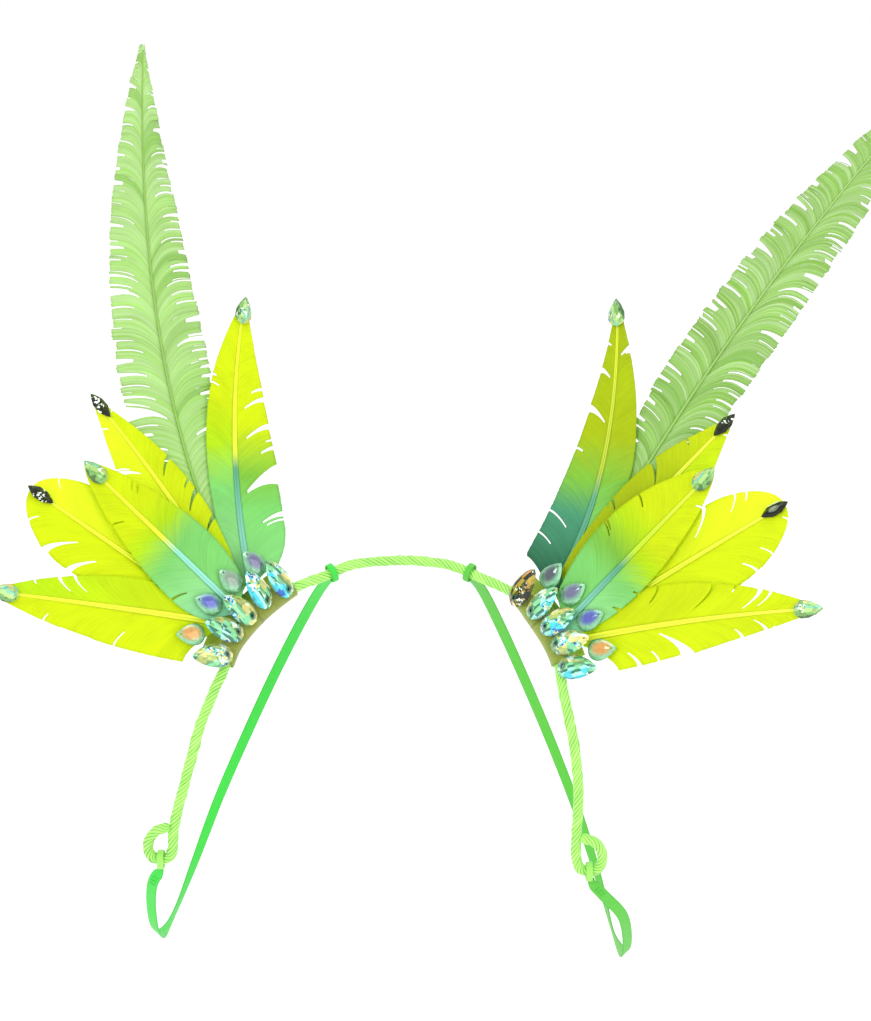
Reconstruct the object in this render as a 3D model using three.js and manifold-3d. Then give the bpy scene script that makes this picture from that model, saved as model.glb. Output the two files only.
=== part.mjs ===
// Feather shoulder wings: two fans of trimmed feathers and drop stones on one bendable, cord-wrapped wire.
// Millimetres, +Z up. The wearer faces -Y. The origin is the middle of the wire behind the neck.
// Each side is drawn on +X, where it is the wearer's left; the right side's group is mirrored.
import * as THREE from 'three';
import { mergeVertices } from 'three/addons/utils/BufferGeometryUtils.js';
import Module from 'manifold-3d';

const solids = await Module();
solids.setup();

// ---- driving dimensions ----
const WIRE_RADIUS = 2.0;         // the steel wire
const WRAP_INNER = 2.5;          // the cord wound on the wire, with the gap that touching pieces keep
const WRAP_RADIUS = 3.6;
const ARM_STEPS = 54;
const FELT_INNER = 4.2;          // the felt sleeve folded over the wrapped wire
const FELT_OUTER = 5.3;
const FELT_BACK = 1.2;           // thickness of the felt behind the feathers
const FELT_REACH = 17;           // how far the felt back reaches from the wire
const FELT_BACK_FRONT = -8.0;    // front face of the felt back, along the fan's normal
const PIVOT_AT = 2;              // the nape route's point where the wire is bent to open and close the wings
const PIVOT_GAP = 2.4;           // free length left in the wire at each pivot
const FIRST_LAYER = -6.4;        // the rearmost feather's height along the fan's normal
const LAYER_STEP = 2.0;          // from one feather to the next one in front
const CURL = 1.5e-4;             // feathers fall back by this times the squared distance from the middle
const VANE_THICK = 0.7;
const QUILL_WIDTH = 5.6;         // a trimmed feather's quill at its base
const PLUME_QUILL_WIDTH = 3.4;
const QUILL_TAPER = 0.66;        // share of the width that is lost by the tip
const VANE_START = 0.02;         // how far along the feather its vane begins
const VANE_SWELL = 0.45;         // how fast it widens from there; 1 is the slowest
const QUILL_THICK = 2.0;
const LARGE_BACK = 6.6;          // back face of the large stones, along the fan's normal
const SMALL_BACK = 4.9;          // and of the small ones, which lie partly under them
const TIP_STONE_INSET = 7;       // from a feather's tip back to the middle of its stone
const TIP_STONE_LIFT = 1.6;      // from a feather's middle plane to the back of its stone
const STRAP_WIDTH = 8;
const STRAP_THICK = 1.2;
const FOLD_INNER = 5.5;          // the strap's sewn eye round the wire
const FOLD_WIDTH = 4.5;
const NECK_RADIUS = 2.2;         // the gathered webbing between a sewn eye and the flat strap
const BACK_FOLD_NEAR = [48, -9, -5.2]; // where the strap's back eye sits on the wire

const LARGE_DROP = { point: 0.55, width: 17.5, length: 30.5, height: 4.2 };
const SMALL_DROP = { point: 0.8, width: 15, length: 20.5, height: 3.2 };
const TIP_DROP = { point: 0.9, width: 12.5, length: 20, height: 3.4 };
const TIP_NAVETTE = { point: 0, width: 9, length: 20.5, height: 3.2 };
const SHINGLE = 13;              // degrees that each large stone is rolled, so that it laps the next one
const LARGE_SLOPE = 7;           // degrees that its pointed end is lifted over the small stones
const GIRDLE = { height: 0.9, backShare: 0.92, tableShare: 0.52 };

const FAN_TILT = 62;             // degrees from flat to the fan's plane
const FAN_TOE_IN = 30;           // degrees that the fan's face turns to the middle

// The wearer's body behind the front loops, as an upright oval that the straps lie flat against.
const BODY = { halfWidth: 180, halfDepth: 80, middleY: -40 };

// ---- the wire's route behind the neck, shared by both sides ----
const NAPE_ROUTE = [[0, 0, 0], [18, -1, -0.8], [36, -4, -2.5], [54, -12, -7]];

// ---- the two sides ----
// Feathers are listed from the back layer to the front one. Each quill runs from base through bend to tip,
// in the fan's own plane: first number outward, second number up. outer and inner are the half widths of the
// vane, and fullOuter and fullInner say how far along the feather each half is widest.
const SIDES = {
  right: {
    mirror: -1,
    fanAt: [92, -47, -30],
    padLine: [[-31, 23.5], [-16, 18.5], [0, 11.5], [15, 2.5], [26, -6], [34, -16]],
    arm: [
      [126, -89, -57], [133, -99, -72], [139, -107, -91], [145, -112, -112], [151, -116, -134],
      [154, -118, -148],
    ],
    loop: {
      centre: [163.2, -120, -160.5], radius: 8.2,
      close: [[170, -120, -152], [165, -120, -145.5], [159, -120, -143]],
    },
    strap: [
      [164.3, -120.4, -177.8], [169.5, -119, -187], [173, -113, -206], [174, -98, -242], [172, -72, -264],
      [167, -38, -268], [156, -4, -250], [139, 24, -212], [117, 39, -164], [94, 40, -112],
      [72, 29, -62], [57, 10, -27], [50.5, -2, -13.5],
    ],
    feathers: [
      { name: 'plume', base: [8, 23], bend: [52, 185], tip: [-28, 423],
        outer: 33, inner: 33, fullOuter: 0.42, fullInner: 0.45, blunt: 0.9 },
      { name: 'feather_1', base: [2, 28], bend: [-2, 130], tip: [-47, 226],
        outer: 19, inner: 31, fullOuter: 0.55, fullInner: 0.22, blunt: 0.9, stone: TIP_DROP },
      { name: 'feather_2', base: [18, 24], bend: [38, 100], tip: [79, 180],
        outer: 23, inner: 18, fullOuter: 0.5, fullInner: 0.45, blunt: 1.0, stone: TIP_NAVETTE },
      { name: 'feather_4', base: [36, 22], bend: [83, 71], tip: [136, 129],
        outer: 30, inner: 25, fullOuter: 0.7, fullInner: 0.72, blunt: 0.5, stone: TIP_NAVETTE },
      { name: 'feather_5', base: [26, 10], bend: [102, 41], tip: [178, 69],
        outer: 28, inner: 20, fullOuter: 0.16, fullInner: 0.4, blunt: 0.8, stone: TIP_DROP },
      { name: 'feather_3', base: [16, 14], bend: [57, 76], tip: [97, 137],
        outer: 25, inner: 24, fullOuter: 0.3, fullInner: 0.35, blunt: 0.7, stone: TIP_DROP },
    ],
    largeStones: [[-14, 32, 25], [2.7, 28.5, 22], [19, 18.5, 44], [33, 8, 60], [45.5, -7.5, 79]],
    smallStones: [[0, 47, 30], [19.5, 39, 33], [38.5, 27.5, 58], [56, 10, 76]],
  },
  left: {
    mirror: 1,
    fanAt: [91, -45, -30],
    padLine: [[-23, 20.5], [-13, 15.8], [-3, 8.1], [8, -0.7], [17, -9], [25, -19]],
    arm: [
      [110, -79, -55], [113.5, -93, -69], [117.5, -103, -87], [120.4, -112, -112], [120.8, -116, -134],
      [119.9, -118, -149],
    ],
    loop: {
      centre: [129.4, -120, -170], radius: 8.6,
      close: [[137, -120, -161], [132, -120, -154.5], [125.8, -120, -152]],
    },
    strap: [
      [131.4, -120.4, -187.6], [140, -118.6, -199], [154, -112, -220], [159.5, -102, -246], [160, -86, -272],
      [156, -52, -284], [148, -14, -266], [133, 18, -226], [113, 36, -176], [91, 39, -120],
      [71, 29, -67], [57, 10, -28], [50.5, -2, -13.5],
    ],
    feathers: [
      { name: 'plume', base: [19.5, 25], bend: [70, 212], tip: [164, 398],
        outer: 28, inner: 29, fullOuter: 0.55, fullInner: 0.5, blunt: 0.5 },
      { name: 'feather_1', base: [4, 22], bend: [37, 108], tip: [-1, 232],
        outer: 20, inner: 29, fullOuter: 0.5, fullInner: 0.12, blunt: 1.0, stone: TIP_DROP },
      { name: 'feather_2', base: [13, 26], bend: [61, 102], tip: [102, 170],
        outer: 23, inner: 21, fullOuter: 0.5, fullInner: 0.5, blunt: 1.0, stone: TIP_NAVETTE },
      { name: 'feather_4', base: [42, 16], bend: [96, 69], tip: [152, 121],
        outer: 31, inner: 26, fullOuter: 0.62, fullInner: 0.7, blunt: 0.5, stone: TIP_NAVETTE },
      { name: 'feather_5', base: [30, -2], bend: [112, 36], tip: [192, 60],
        outer: 24, inner: 25, fullOuter: 0.12, fullInner: 0.38, blunt: 0.9, stone: TIP_DROP },
      { name: 'feather_3', base: [21, 3], bend: [61, 69], tip: [100, 132],
        outer: 21, inner: 29, fullOuter: 0.42, fullInner: 0.48, blunt: 0.7, stone: TIP_DROP },
    ],
    largeStones: [[-10, 26, 24], [6.7, 19.3, 38], [20.8, 9.8, 50], [33, -2, 67], [42.3, -17.5, 78]],
    smallStones: [[7, 39, 28], [25.5, 30.5, 43], [42, 16.5, 52], [55.5, -1.5, 70]],
  },
};

// ---- materials ----
function finish(color, roughness, metalness = 0) {
  return new THREE.MeshStandardMaterial({ color, roughness, metalness });
}

const FINISHES = {
  wire: () => finish(0x8c8f92, 0.4, 1),
  cord: () => finish(0x8fe03a, 0.6),
  felt: () => finish(0x9aa33a, 0.95),
  feather: () => finish(0xd9ea10, 0.7),
  plume: () => finish(0xa6d66a, 0.8),
  strap: () => finish(0x33d648, 0.7),
  stone: () => finish(0x8fe6c8, 0.1),
  olive: () => finish(0x3d4a10, 0.15),
};

function piece(name, geometry, kind) {
  const mesh = new THREE.Mesh(geometry, FINISHES[kind]());
  mesh.name = name;
  return mesh;
}

// ---- solids from rings of points ----
function indexed(points, triangles) {
  const geometry = new THREE.BufferGeometry();
  const position = new Float32Array(points.flatMap((p) => [p.x, p.y, p.z]));
  geometry.setAttribute('position', new THREE.BufferAttribute(position, 3));
  geometry.setIndex(triangles.flat());
  return geometry;
}

// A negative volume means that the faces point inward, so every triangle is turned over.
function facingOut(points, triangles) {
  const volume = triangles.reduce((sum, [a, b, c]) => {
    return sum + points[a].dot(new THREE.Vector3().crossVectors(points[b], points[c]));
  }, 0);
  return volume < 0 ? triangles.map(([a, b, c]) => [a, c, b]) : triangles;
}

// A closed body through rings that all have the same number of points, with a flat fan over each end.
function loft(rings) {
  const sides = rings[0].length;
  const points = rings.flat();
  const triangles = [];
  for (let ring = 0; ring < rings.length - 1; ring += 1) {
    for (let side = 0; side < sides; side += 1) {
      const a = ring * sides + side;
      const b = ring * sides + ((side + 1) % sides);
      triangles.push([a, b, a + sides], [b, b + sides, a + sides]);
    }
  }
  const last = (rings.length - 1) * sides;
  for (let side = 1; side < sides - 1; side += 1) {
    triangles.push([0, side + 1, side], [last, last + side, last + side + 1]);
  }
  return indexed(points, facingOut(points, triangles));
}

function toManifold(geometry) {
  const bare = geometry.clone();
  bare.deleteAttribute('normal');
  bare.deleteAttribute('uv');
  const merged = mergeVertices(bare, 1e-4);
  return new solids.Manifold(new solids.Mesh({
    numProp: 3,
    vertProperties: merged.attributes.position.array,
    triVerts: new Uint32Array(merged.index.array),
  }));
}

function joined(...geometries) {
  const whole = geometries.map(toManifold).reduce((sum, next) => sum.add(next));
  const mesh = whole.getMesh();
  const geometry = new THREE.BufferGeometry();
  geometry.setAttribute('position', new THREE.BufferAttribute(mesh.vertProperties, 3));
  geometry.setIndex(new THREE.BufferAttribute(mesh.triVerts, 1));
  return geometry;
}

// ---- the wire and what is wound on it ----
function circle(radius, sides) {
  const shape = new THREE.Shape();
  for (let side = 0; side < sides; side += 1) {
    const angle = (2 * Math.PI * side) / sides;
    const corner = [radius * Math.cos(angle), radius * Math.sin(angle)];
    if (side === 0) shape.moveTo(...corner);
    else shape.lineTo(...corner);
  }
  shape.closePath();
  return shape;
}

function rod(curve, radius, sides, steps) {
  return new THREE.ExtrudeGeometry(circle(radius, sides), { steps, extrudePath: curve });
}

function sleeve(curve, outer, inner, sides, steps) {
  const shape = circle(outer, sides);
  shape.holes.push(circle(inner, sides - 2));
  return new THREE.ExtrudeGeometry(shape, { steps, extrudePath: curve });
}

// A route that is stepped by its points, not by its length, so the small front loop bends finely enough.
class WireRoute extends THREE.CatmullRomCurve3 {
  getPointAt(u) {
    return this.getPoint(u);
  }

  getTangentAt(u) {
    return this.getTangent(u);
  }
}

function route(points) {
  return new WireRoute(points.map((p) => new THREE.Vector3(...p)));
}

// The front loop hangs from the arm: round below, then back up to the arm.
function loopPoints({ centre: [x, y, z], radius, close }) {
  const turns = [180, 225, 270, 315, 360].map(THREE.MathUtils.degToRad);
  return [...turns.map((turn) => [x + radius * Math.cos(turn), y, z + radius * Math.sin(turn)]), ...close];
}

// The part of a route between two of its parameters.
function stretch(curve, from, to, points) {
  return new WireRoute(Array.from({ length: points }, (_, i) => {
    return curve.getPoint(from + ((to - from) * i) / (points - 1));
  }));
}

// The parameter where a route passes closest to a place.
function nearest(curve, place, samples = 4000) {
  const away = (i) => curve.getPoint(i / samples).distanceTo(place);
  let best = 0;
  for (let i = 1; i <= samples; i += 1) {
    if (away(i) < away(best)) best = i;
  }
  return best / samples;
}

// The parameter that lies a given length past another one.
function past(curve, from, length, step = 1e-4) {
  let parameter = from;
  let walked = 0;
  while (walked < length) {
    walked += curve.getPoint(parameter).distanceTo(curve.getPoint(parameter + step));
    parameter += step;
  }
  return parameter;
}

// ---- feathers, drawn in the fan's own plane: x outward, y up, z along the fan's normal ----
function curled(x, y, z) {
  return new THREE.Vector3(x, y, z - CURL * (x * x + y * y));
}

function fullness(t, full, blunt) {
  if (t <= VANE_START) return 0;
  if (t < full) return Math.sin((Math.PI / 2) * ((t - VANE_START) / (full - VANE_START))) ** VANE_SWELL;
  return Math.cos((Math.PI / 2) * ((t - full) / (1 - full))) ** blunt;
}

function quillCurve({ base, bend, tip }) {
  return new THREE.QuadraticBezierCurve(...[base, bend, tip].map((p) => new THREE.Vector2(...p)));
}

function featherGeometry(spec, layer) {
  const quill = quillCurve(spec);
  const quillWidth = spec.name === 'plume' ? PLUME_QUILL_WIDTH : QUILL_WIDTH;
  const stations = [0, 0.05, 0.12, 0.22, 0.36, 0.5, 0.64, 0.78, 0.87, 0.95, 1];
  const rings = stations.map((t) => {
    const place = quill.getPoint(t);
    const along = quill.getTangent(t);
    const outward = new THREE.Vector2(along.y, -along.x);
    const half = (quillWidth / 2) * (1 - QUILL_TAPER * t);
    const thick = (QUILL_THICK / 2) * (1 - 0.6 * t);
    const outer = half + 0.5 + spec.outer * fullness(t, spec.fullOuter, spec.blunt);
    const inner = half + 0.5 + spec.inner * fullness(t, spec.fullInner, spec.blunt);
    const vane = VANE_THICK / 2;
    const section = [
      [outer, vane], [half, vane], [0, thick], [-half, vane], [-inner, vane],
      [-inner, -vane], [-half, -vane], [0, -thick], [half, -vane], [outer, -vane],
    ];
    return section.map(([across, height]) => curled(
      place.x + outward.x * across, place.y + outward.y * across, layer + height));
  });
  return loft(rings);
}

// ---- stones: flat-backed, with a table and one ring of crown facets; the point of a drop is at +y ----
const WIDEST_DROP = 0.77;        // the most that sin(turn) * sin(turn / 2) comes to

// point runs from 0, an oval, to 1, a teardrop.
function stoneOutline({ point, width, length }, scale) {
  const count = 10;
  return Array.from({ length: count }, (_, i) => {
    const turn = (2 * Math.PI * i) / count;
    const y = (length / 2) * Math.cos(turn);
    const swell = 1 - point + (point * Math.abs(Math.sin(turn / 2))) / WIDEST_DROP;
    const x = (width / 2) * Math.sin(turn) * swell;
    return [x * scale, y * scale];
  });
}

function stoneGeometry(spec) {
  const levels = [[0, GIRDLE.backShare], [GIRDLE.height, 1], [spec.height, GIRDLE.tableShare]];
  return loft(levels.map(([z, scale]) => {
    return stoneOutline(spec, scale).map(([x, y]) => new THREE.Vector3(x, y, z));
  }));
}

// turnOut turns the point outward in the fan's plane, slope lifts it, and roll tips the stone sideways.
function stoneMesh(name, spec, [x, y, z], { turnOut, slope = 0, roll = 0, kind = 'stone' }) {
  const mesh = piece(name, stoneGeometry(spec), kind);
  const [turn, lift, tip] = [-turnOut, slope, roll].map(THREE.MathUtils.degToRad);
  mesh.position.set(x, y, z);
  mesh.rotation.set(lift, tip, turn, 'ZXY');
  return mesh;
}

function tipStone(name, spec, layer) {
  const along = quillCurve(spec).getTangent(1);
  const place = new THREE.Vector2(...spec.tip).addScaledVector(along, -TIP_STONE_INSET);
  const fall = CURL * place.lengthSq();
  const turnOut = THREE.MathUtils.radToDeg(Math.atan2(along.x, along.y));
  // The stone lies back with the curl of the feather under it.
  const slope = -THREE.MathUtils.radToDeg(Math.atan(2 * CURL * place.dot(along)));
  const kind = spec.stone === TIP_NAVETTE ? 'olive' : 'stone';
  const height = layer + TIP_STONE_LIFT - fall;
  return stoneMesh(name, spec.stone, [place.x, place.y, height], { turnOut, slope, kind });
}

// ---- felt: a sleeve folded over the wrapped wire, with its back leaf behind the feathers ----
function feltGeometry(line, toWorld, wire) {
  const fanCurve = new THREE.CatmullRomCurve3(line.map(([x, y]) => new THREE.Vector3(x, y, 0)));
  const steps = 9;
  const [from, to] = [line[0], line.at(-1)].map(([x, y]) => {
    return nearest(wire, new THREE.Vector3(x, y, 0).applyMatrix4(toWorld));
  });
  const tube = sleeve(stretch(wire, from, to, 16), FELT_OUTER, FELT_INNER, 12, steps);
  const leaf = loft(Array.from({ length: steps + 1 }, (_, i) => {
    const place = fanCurve.getPointAt(i / steps);
    const along = fanCurve.getTangentAt(i / steps);
    const outward = new THREE.Vector2(-along.y, along.x);
    const root = FELT_INNER + 0.5;
    const knee = FELT_OUTER + 4;
    const rear = FELT_BACK_FRONT - FELT_BACK;
    const section = [
      [root, -1.2], [root, -3.0], [knee, rear],
      [FELT_REACH, rear], [FELT_REACH, FELT_BACK_FRONT], [knee + 0.4, FELT_BACK_FRONT],
    ];
    return section.map(([across, height]) => new THREE.Vector3(
      place.x + outward.x * across, place.y + outward.y * across, height).applyMatrix4(toWorld));
  }));
  return joined(tube, leaf);
}

// ---- the elastic strap: flat webbing with a sewn eye at each end ----
function bodyNormal({ x, y }) {
  return new THREE.Vector3(x / BODY.halfWidth ** 2, (y - BODY.middleY) / BODY.halfDepth ** 2, 0).normalize();
}

function webbing(line) {
  const curve = new THREE.CatmullRomCurve3(line.map((p) => new THREE.Vector3(...p)));
  const steps = 30;
  return loft(Array.from({ length: steps + 1 }, (_, i) => {
    const place = curve.getPointAt(i / steps);
    const along = curve.getTangentAt(i / steps);
    const across = new THREE.Vector3().crossVectors(bodyNormal(place), along).normalize();
    const out = new THREE.Vector3().crossVectors(along, across);
    const corners = [[1, 1], [-1, 1], [-1, -1], [1, -1]];
    return corners.map(([a, b]) => place.clone()
      .addScaledVector(across, (a * STRAP_WIDTH) / 2)
      .addScaledVector(out, (b * STRAP_THICK) / 2));
  }));
}

function sewnEye(centre, axis) {
  const half = axis.clone().multiplyScalar(FOLD_WIDTH / 2);
  const line = new THREE.LineCurve3(centre.clone().sub(half), centre.clone().add(half));
  return sleeve(line, FOLD_INNER + STRAP_THICK, FOLD_INNER, 12, 1);
}

// From the middle of a sewn eye's wall to the webbing's first point.
function strapNeck(centre, end) {
  const away = end.clone().sub(centre).normalize();
  const start = centre.clone().addScaledVector(away, FOLD_INNER + STRAP_THICK / 2);
  return new THREE.LineCurve3(start, end.clone().addScaledVector(away, 1));
}

function strapGeometry(side, wire) {
  const pieces = [webbing(side.strap)];
  const [x, y, z] = side.loop.centre;
  const ends = [[[x, y, z - side.loop.radius], side.strap[0]], [BACK_FOLD_NEAR, side.strap.at(-1)]];
  for (const [near, end] of ends) {
    const u = nearest(wire, new THREE.Vector3(...near));
    const centre = wire.getPoint(u);
    pieces.push(sewnEye(centre, wire.getTangent(u)));
    pieces.push(rod(strapNeck(centre, new THREE.Vector3(...end)), NECK_RADIUS, 8, 1));
  }
  return joined(...pieces);
}

// ---- one side ----
function sideGroup(sideName, side) {
  const group = new THREE.Group();
  const fan = new THREE.Group();
  fan.position.set(...side.fanAt);
  fan.rotation.set(
    THREE.MathUtils.degToRad(FAN_TILT), 0, THREE.MathUtils.degToRad(-FAN_TOE_IN), 'ZXY');
  fan.updateMatrixWorld();

  const padPoints = side.padLine.map(([x, y]) => new THREE.Vector3(x, y, 0).applyMatrix4(fan.matrixWorld));
  const padRoute = padPoints.map((p) => p.toArray());
  const wire = route([...NAPE_ROUTE, ...padRoute, ...side.arm, ...loopPoints(side.loop)]);
  const pivot = nearest(wire, new THREE.Vector3(...NAPE_ROUTE[PIVOT_AT]));
  const arm = stretch(wire, past(wire, pivot, PIVOT_GAP / 2), 1, ARM_STEPS);
  group.add(
    piece(`${sideName}_wire`, rod(arm, WIRE_RADIUS, 6, ARM_STEPS), 'wire'),
    piece(`${sideName}_wire_wrap`, sleeve(arm, WRAP_RADIUS, WRAP_INNER, 8, ARM_STEPS), 'cord'),
    piece(`${sideName}_felt`, feltGeometry(side.padLine, fan.matrixWorld, wire), 'felt'),
    piece(`${sideName}_strap`, strapGeometry(side, wire), 'strap'),
  );

  side.feathers.forEach((spec, index) => {
    const layer = FIRST_LAYER + index * LAYER_STEP;
    fan.add(piece(`${sideName}_${spec.name}`, featherGeometry(spec, layer), index ? 'feather' : 'plume'));
    if (spec.stone) fan.add(tipStone(`${sideName}_tip_stone_${spec.name.at(-1)}`, spec, layer));
  });
  side.largeStones.forEach(([x, y, turnOut], index) => {
    const lift = (LARGE_DROP.width / 2) * Math.sin(THREE.MathUtils.degToRad(SHINGLE));
    fan.add(stoneMesh(`${sideName}_large_stone_${index + 1}`, LARGE_DROP, [x, y, LARGE_BACK + lift],
      { turnOut, slope: LARGE_SLOPE, roll: -SHINGLE }));
  });
  side.smallStones.forEach(([x, y, turnOut], index) => {
    fan.add(stoneMesh(`${sideName}_small_stone_${index + 1}`, SMALL_DROP, [x, y, SMALL_BACK], { turnOut }));
  });
  group.add(fan);
  group.scale.x = side.mirror;
  return { group, wire };
}

// ---- the whole object ----
const wings = new THREE.Group();
const built = Object.entries(SIDES).map(([name, side]) => sideGroup(name, side));
built.forEach(({ group }) => wings.add(group));

const napeHalf = NAPE_ROUTE.slice(0, PIVOT_AT + 1);
const napeWhole = route([...napeHalf.slice(1).reverse().map(([x, y, z]) => [-x, y, z]), ...napeHalf]);
const napeStart = past(napeWhole, 0, PIVOT_GAP / 2);
const nape = stretch(napeWhole, napeStart, 1 - napeStart, 16);
wings.add(
  piece('nape_wire', rod(nape, WIRE_RADIUS, 6, 12), 'wire'),
  piece('nape_wire_wrap', sleeve(nape, WRAP_RADIUS, WRAP_INNER, 8, 12), 'cord'),
);

export default wings;
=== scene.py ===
"""Feather shoulder wings: the finished look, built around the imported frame.

Shapes are laid out in millimetres and turned into metres as each mesh is made. +Z is up, and the wearer
faces -Y. Each side is drawn on +X and mirrored for the right wing, as the frame is.
"""
import math

import bmesh
import bpy
import numpy as np
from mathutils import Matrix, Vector


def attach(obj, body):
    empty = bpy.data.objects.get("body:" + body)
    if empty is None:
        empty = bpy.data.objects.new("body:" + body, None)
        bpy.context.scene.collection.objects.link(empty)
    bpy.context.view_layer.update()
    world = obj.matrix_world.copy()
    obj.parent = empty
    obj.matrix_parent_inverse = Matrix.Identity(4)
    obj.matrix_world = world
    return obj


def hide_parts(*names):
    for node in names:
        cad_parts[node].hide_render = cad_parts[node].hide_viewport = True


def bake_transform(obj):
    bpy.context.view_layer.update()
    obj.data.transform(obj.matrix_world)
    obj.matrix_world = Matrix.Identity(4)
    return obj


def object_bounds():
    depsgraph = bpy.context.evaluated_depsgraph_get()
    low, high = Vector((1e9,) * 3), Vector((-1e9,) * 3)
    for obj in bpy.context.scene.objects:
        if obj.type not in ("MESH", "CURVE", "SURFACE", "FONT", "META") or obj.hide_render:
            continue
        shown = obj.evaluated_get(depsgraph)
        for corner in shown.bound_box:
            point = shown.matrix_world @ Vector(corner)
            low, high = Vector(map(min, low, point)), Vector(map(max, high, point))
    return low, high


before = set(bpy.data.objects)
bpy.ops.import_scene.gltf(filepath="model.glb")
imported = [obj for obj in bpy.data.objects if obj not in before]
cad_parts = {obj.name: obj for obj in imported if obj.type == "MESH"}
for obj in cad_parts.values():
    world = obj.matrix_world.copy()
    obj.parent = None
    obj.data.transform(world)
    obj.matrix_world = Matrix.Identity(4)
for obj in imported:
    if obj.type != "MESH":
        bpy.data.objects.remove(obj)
CAD_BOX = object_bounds()

MM = 0.001

# ---- driving dimensions, as in the frame ----
WRAP_RADIUS = 3.6
FELT_INNER = 4.2
FELT_OUTER = 5.3
FELT_REACH = 17
FELT_BACK_MIDDLE = -8.6      # middle of the felt behind the feathers, along the fan's normal
FELT_END_TRIM = 4.0          # the felt ends this far short of the wire's bend, at its upper end
FIRST_LAYER = -6.4
LAYER_STEP = 2.0
CURL = 1.5e-4
LARGE_BACK = 6.6
SMALL_BACK = 4.9
TIP_STONE_INSET = 7
TIP_STONE_LIFT = 1.6
STRAP_WIDTH = 8
STRAP_THICK = 1.2
EYE_RADIUS = 6.1             # middle of the sewn eye's wall
EYE_WIDTH = 4.5
NECK_WIDTH = 5.0             # of the webbing where it leaves the eye
BACK_EYE_NEAR = (48, -9, -5.2)
QUILL_HALF = 2.8             # half of a quill's width at its base
PLUME_QUILL_HALF = 1.3
QUILL_TAPER = 0.66           # share of the width that is lost by the tip
VANE_START = 0.02
VANE_SWELL = 0.45
SHINGLE = math.radians(13)
LARGE_SLOPE = math.radians(7)
FAN_TILT = math.radians(62)
FAN_TOE_IN = math.radians(30)
PIVOT_START = 30             # the wrap bends between these two distances from the middle
PIVOT_END = 44
NAPE_ROUTE = [(0, 0, 0), (18, -1, -0.8), (36, -4, -2.5), (54, -12, -7)]
# the upright oval that the straps lie flat against
BODY = dict(half_width=180, half_depth=80, middle_y=-40)

# point runs from 0, an oval, to 1, a teardrop. Holes are (across, along, radius).
WIDEST_DROP = 0.77           # the most that sin(turn) * sin(turn / 2) comes to
LARGE_DROP = dict(point=0.55, width=17.5, length=30.5, height=4.2, holes=((0, -9.6, 1.3), (0, 11.9, 0.8)))
SMALL_DROP = dict(point=0.8, width=15, length=20.5, height=3.2, holes=((0, 7.2, 0.7),))
TIP_DROP = dict(point=0.9, width=12.5, length=20, height=3.4, holes=((0, 7.4, 0.7),))
TIP_NAVETTE = dict(point=0, width=9, length=20.5, height=3.2, holes=())


# ---- colours ----
def srgb(red, green, blue):
    share = np.array([red, green, blue]) / 255
    return np.where(share <= 0.04045, share / 12.92, ((share + 0.055) / 1.055) ** 2.4)


YELLOW = srgb(222, 240, 10)
LEMON = srgb(240, 252, 40)
LIME = srgb(196, 236, 20)
OLIVE_YELLOW = srgb(184, 205, 10)
GRASS = srgb(138, 205, 70)
MINT = srgb(140, 224, 120)
PALE_MINT = srgb(165, 238, 158)
AQUA = srgb(150, 232, 205)
TEAL = srgb(84, 168, 128)
DEEP_TEAL = srgb(48, 112, 80)
PALE_LIME = srgb(176, 222, 122)
FROSTED_LIME = srgb(206, 234, 176)
LEAF = srgb(150, 200, 88)
SLATE = srgb(62, 74, 84)
DUSK = srgb(100, 100, 138)
SAGE = srgb(128, 150, 132)
INDIGO = srgb(70, 80, 178)
EYE_GREEN = srgb(170, 245, 110)
GOLD = srgb(214, 150, 60)

# ---- feathers, from the back layer to the front one, as in the frame ----
def edge(width, full, lean, tints, splits=()):
    """One half of a vane: its width, how far along it is widest, and how far its barbs lean at base and tip.

    Tints are (place along the feather, colour). A split is (root along the quill, where it starts across the
    vane, gap at the edge in millimetres).
    """
    return dict(width=width, full=full, lean=lean, tints=tints, splits=splits)


def feather_spec(name, line, blunt, quill_tints, outer, inner, stone=None):
    base, bend, tip = line
    return dict(name=name, base=base, bend=bend, tip=tip, blunt=blunt, quill_tints=quill_tints,
                outer=outer, inner=inner, stone=stone)


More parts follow.
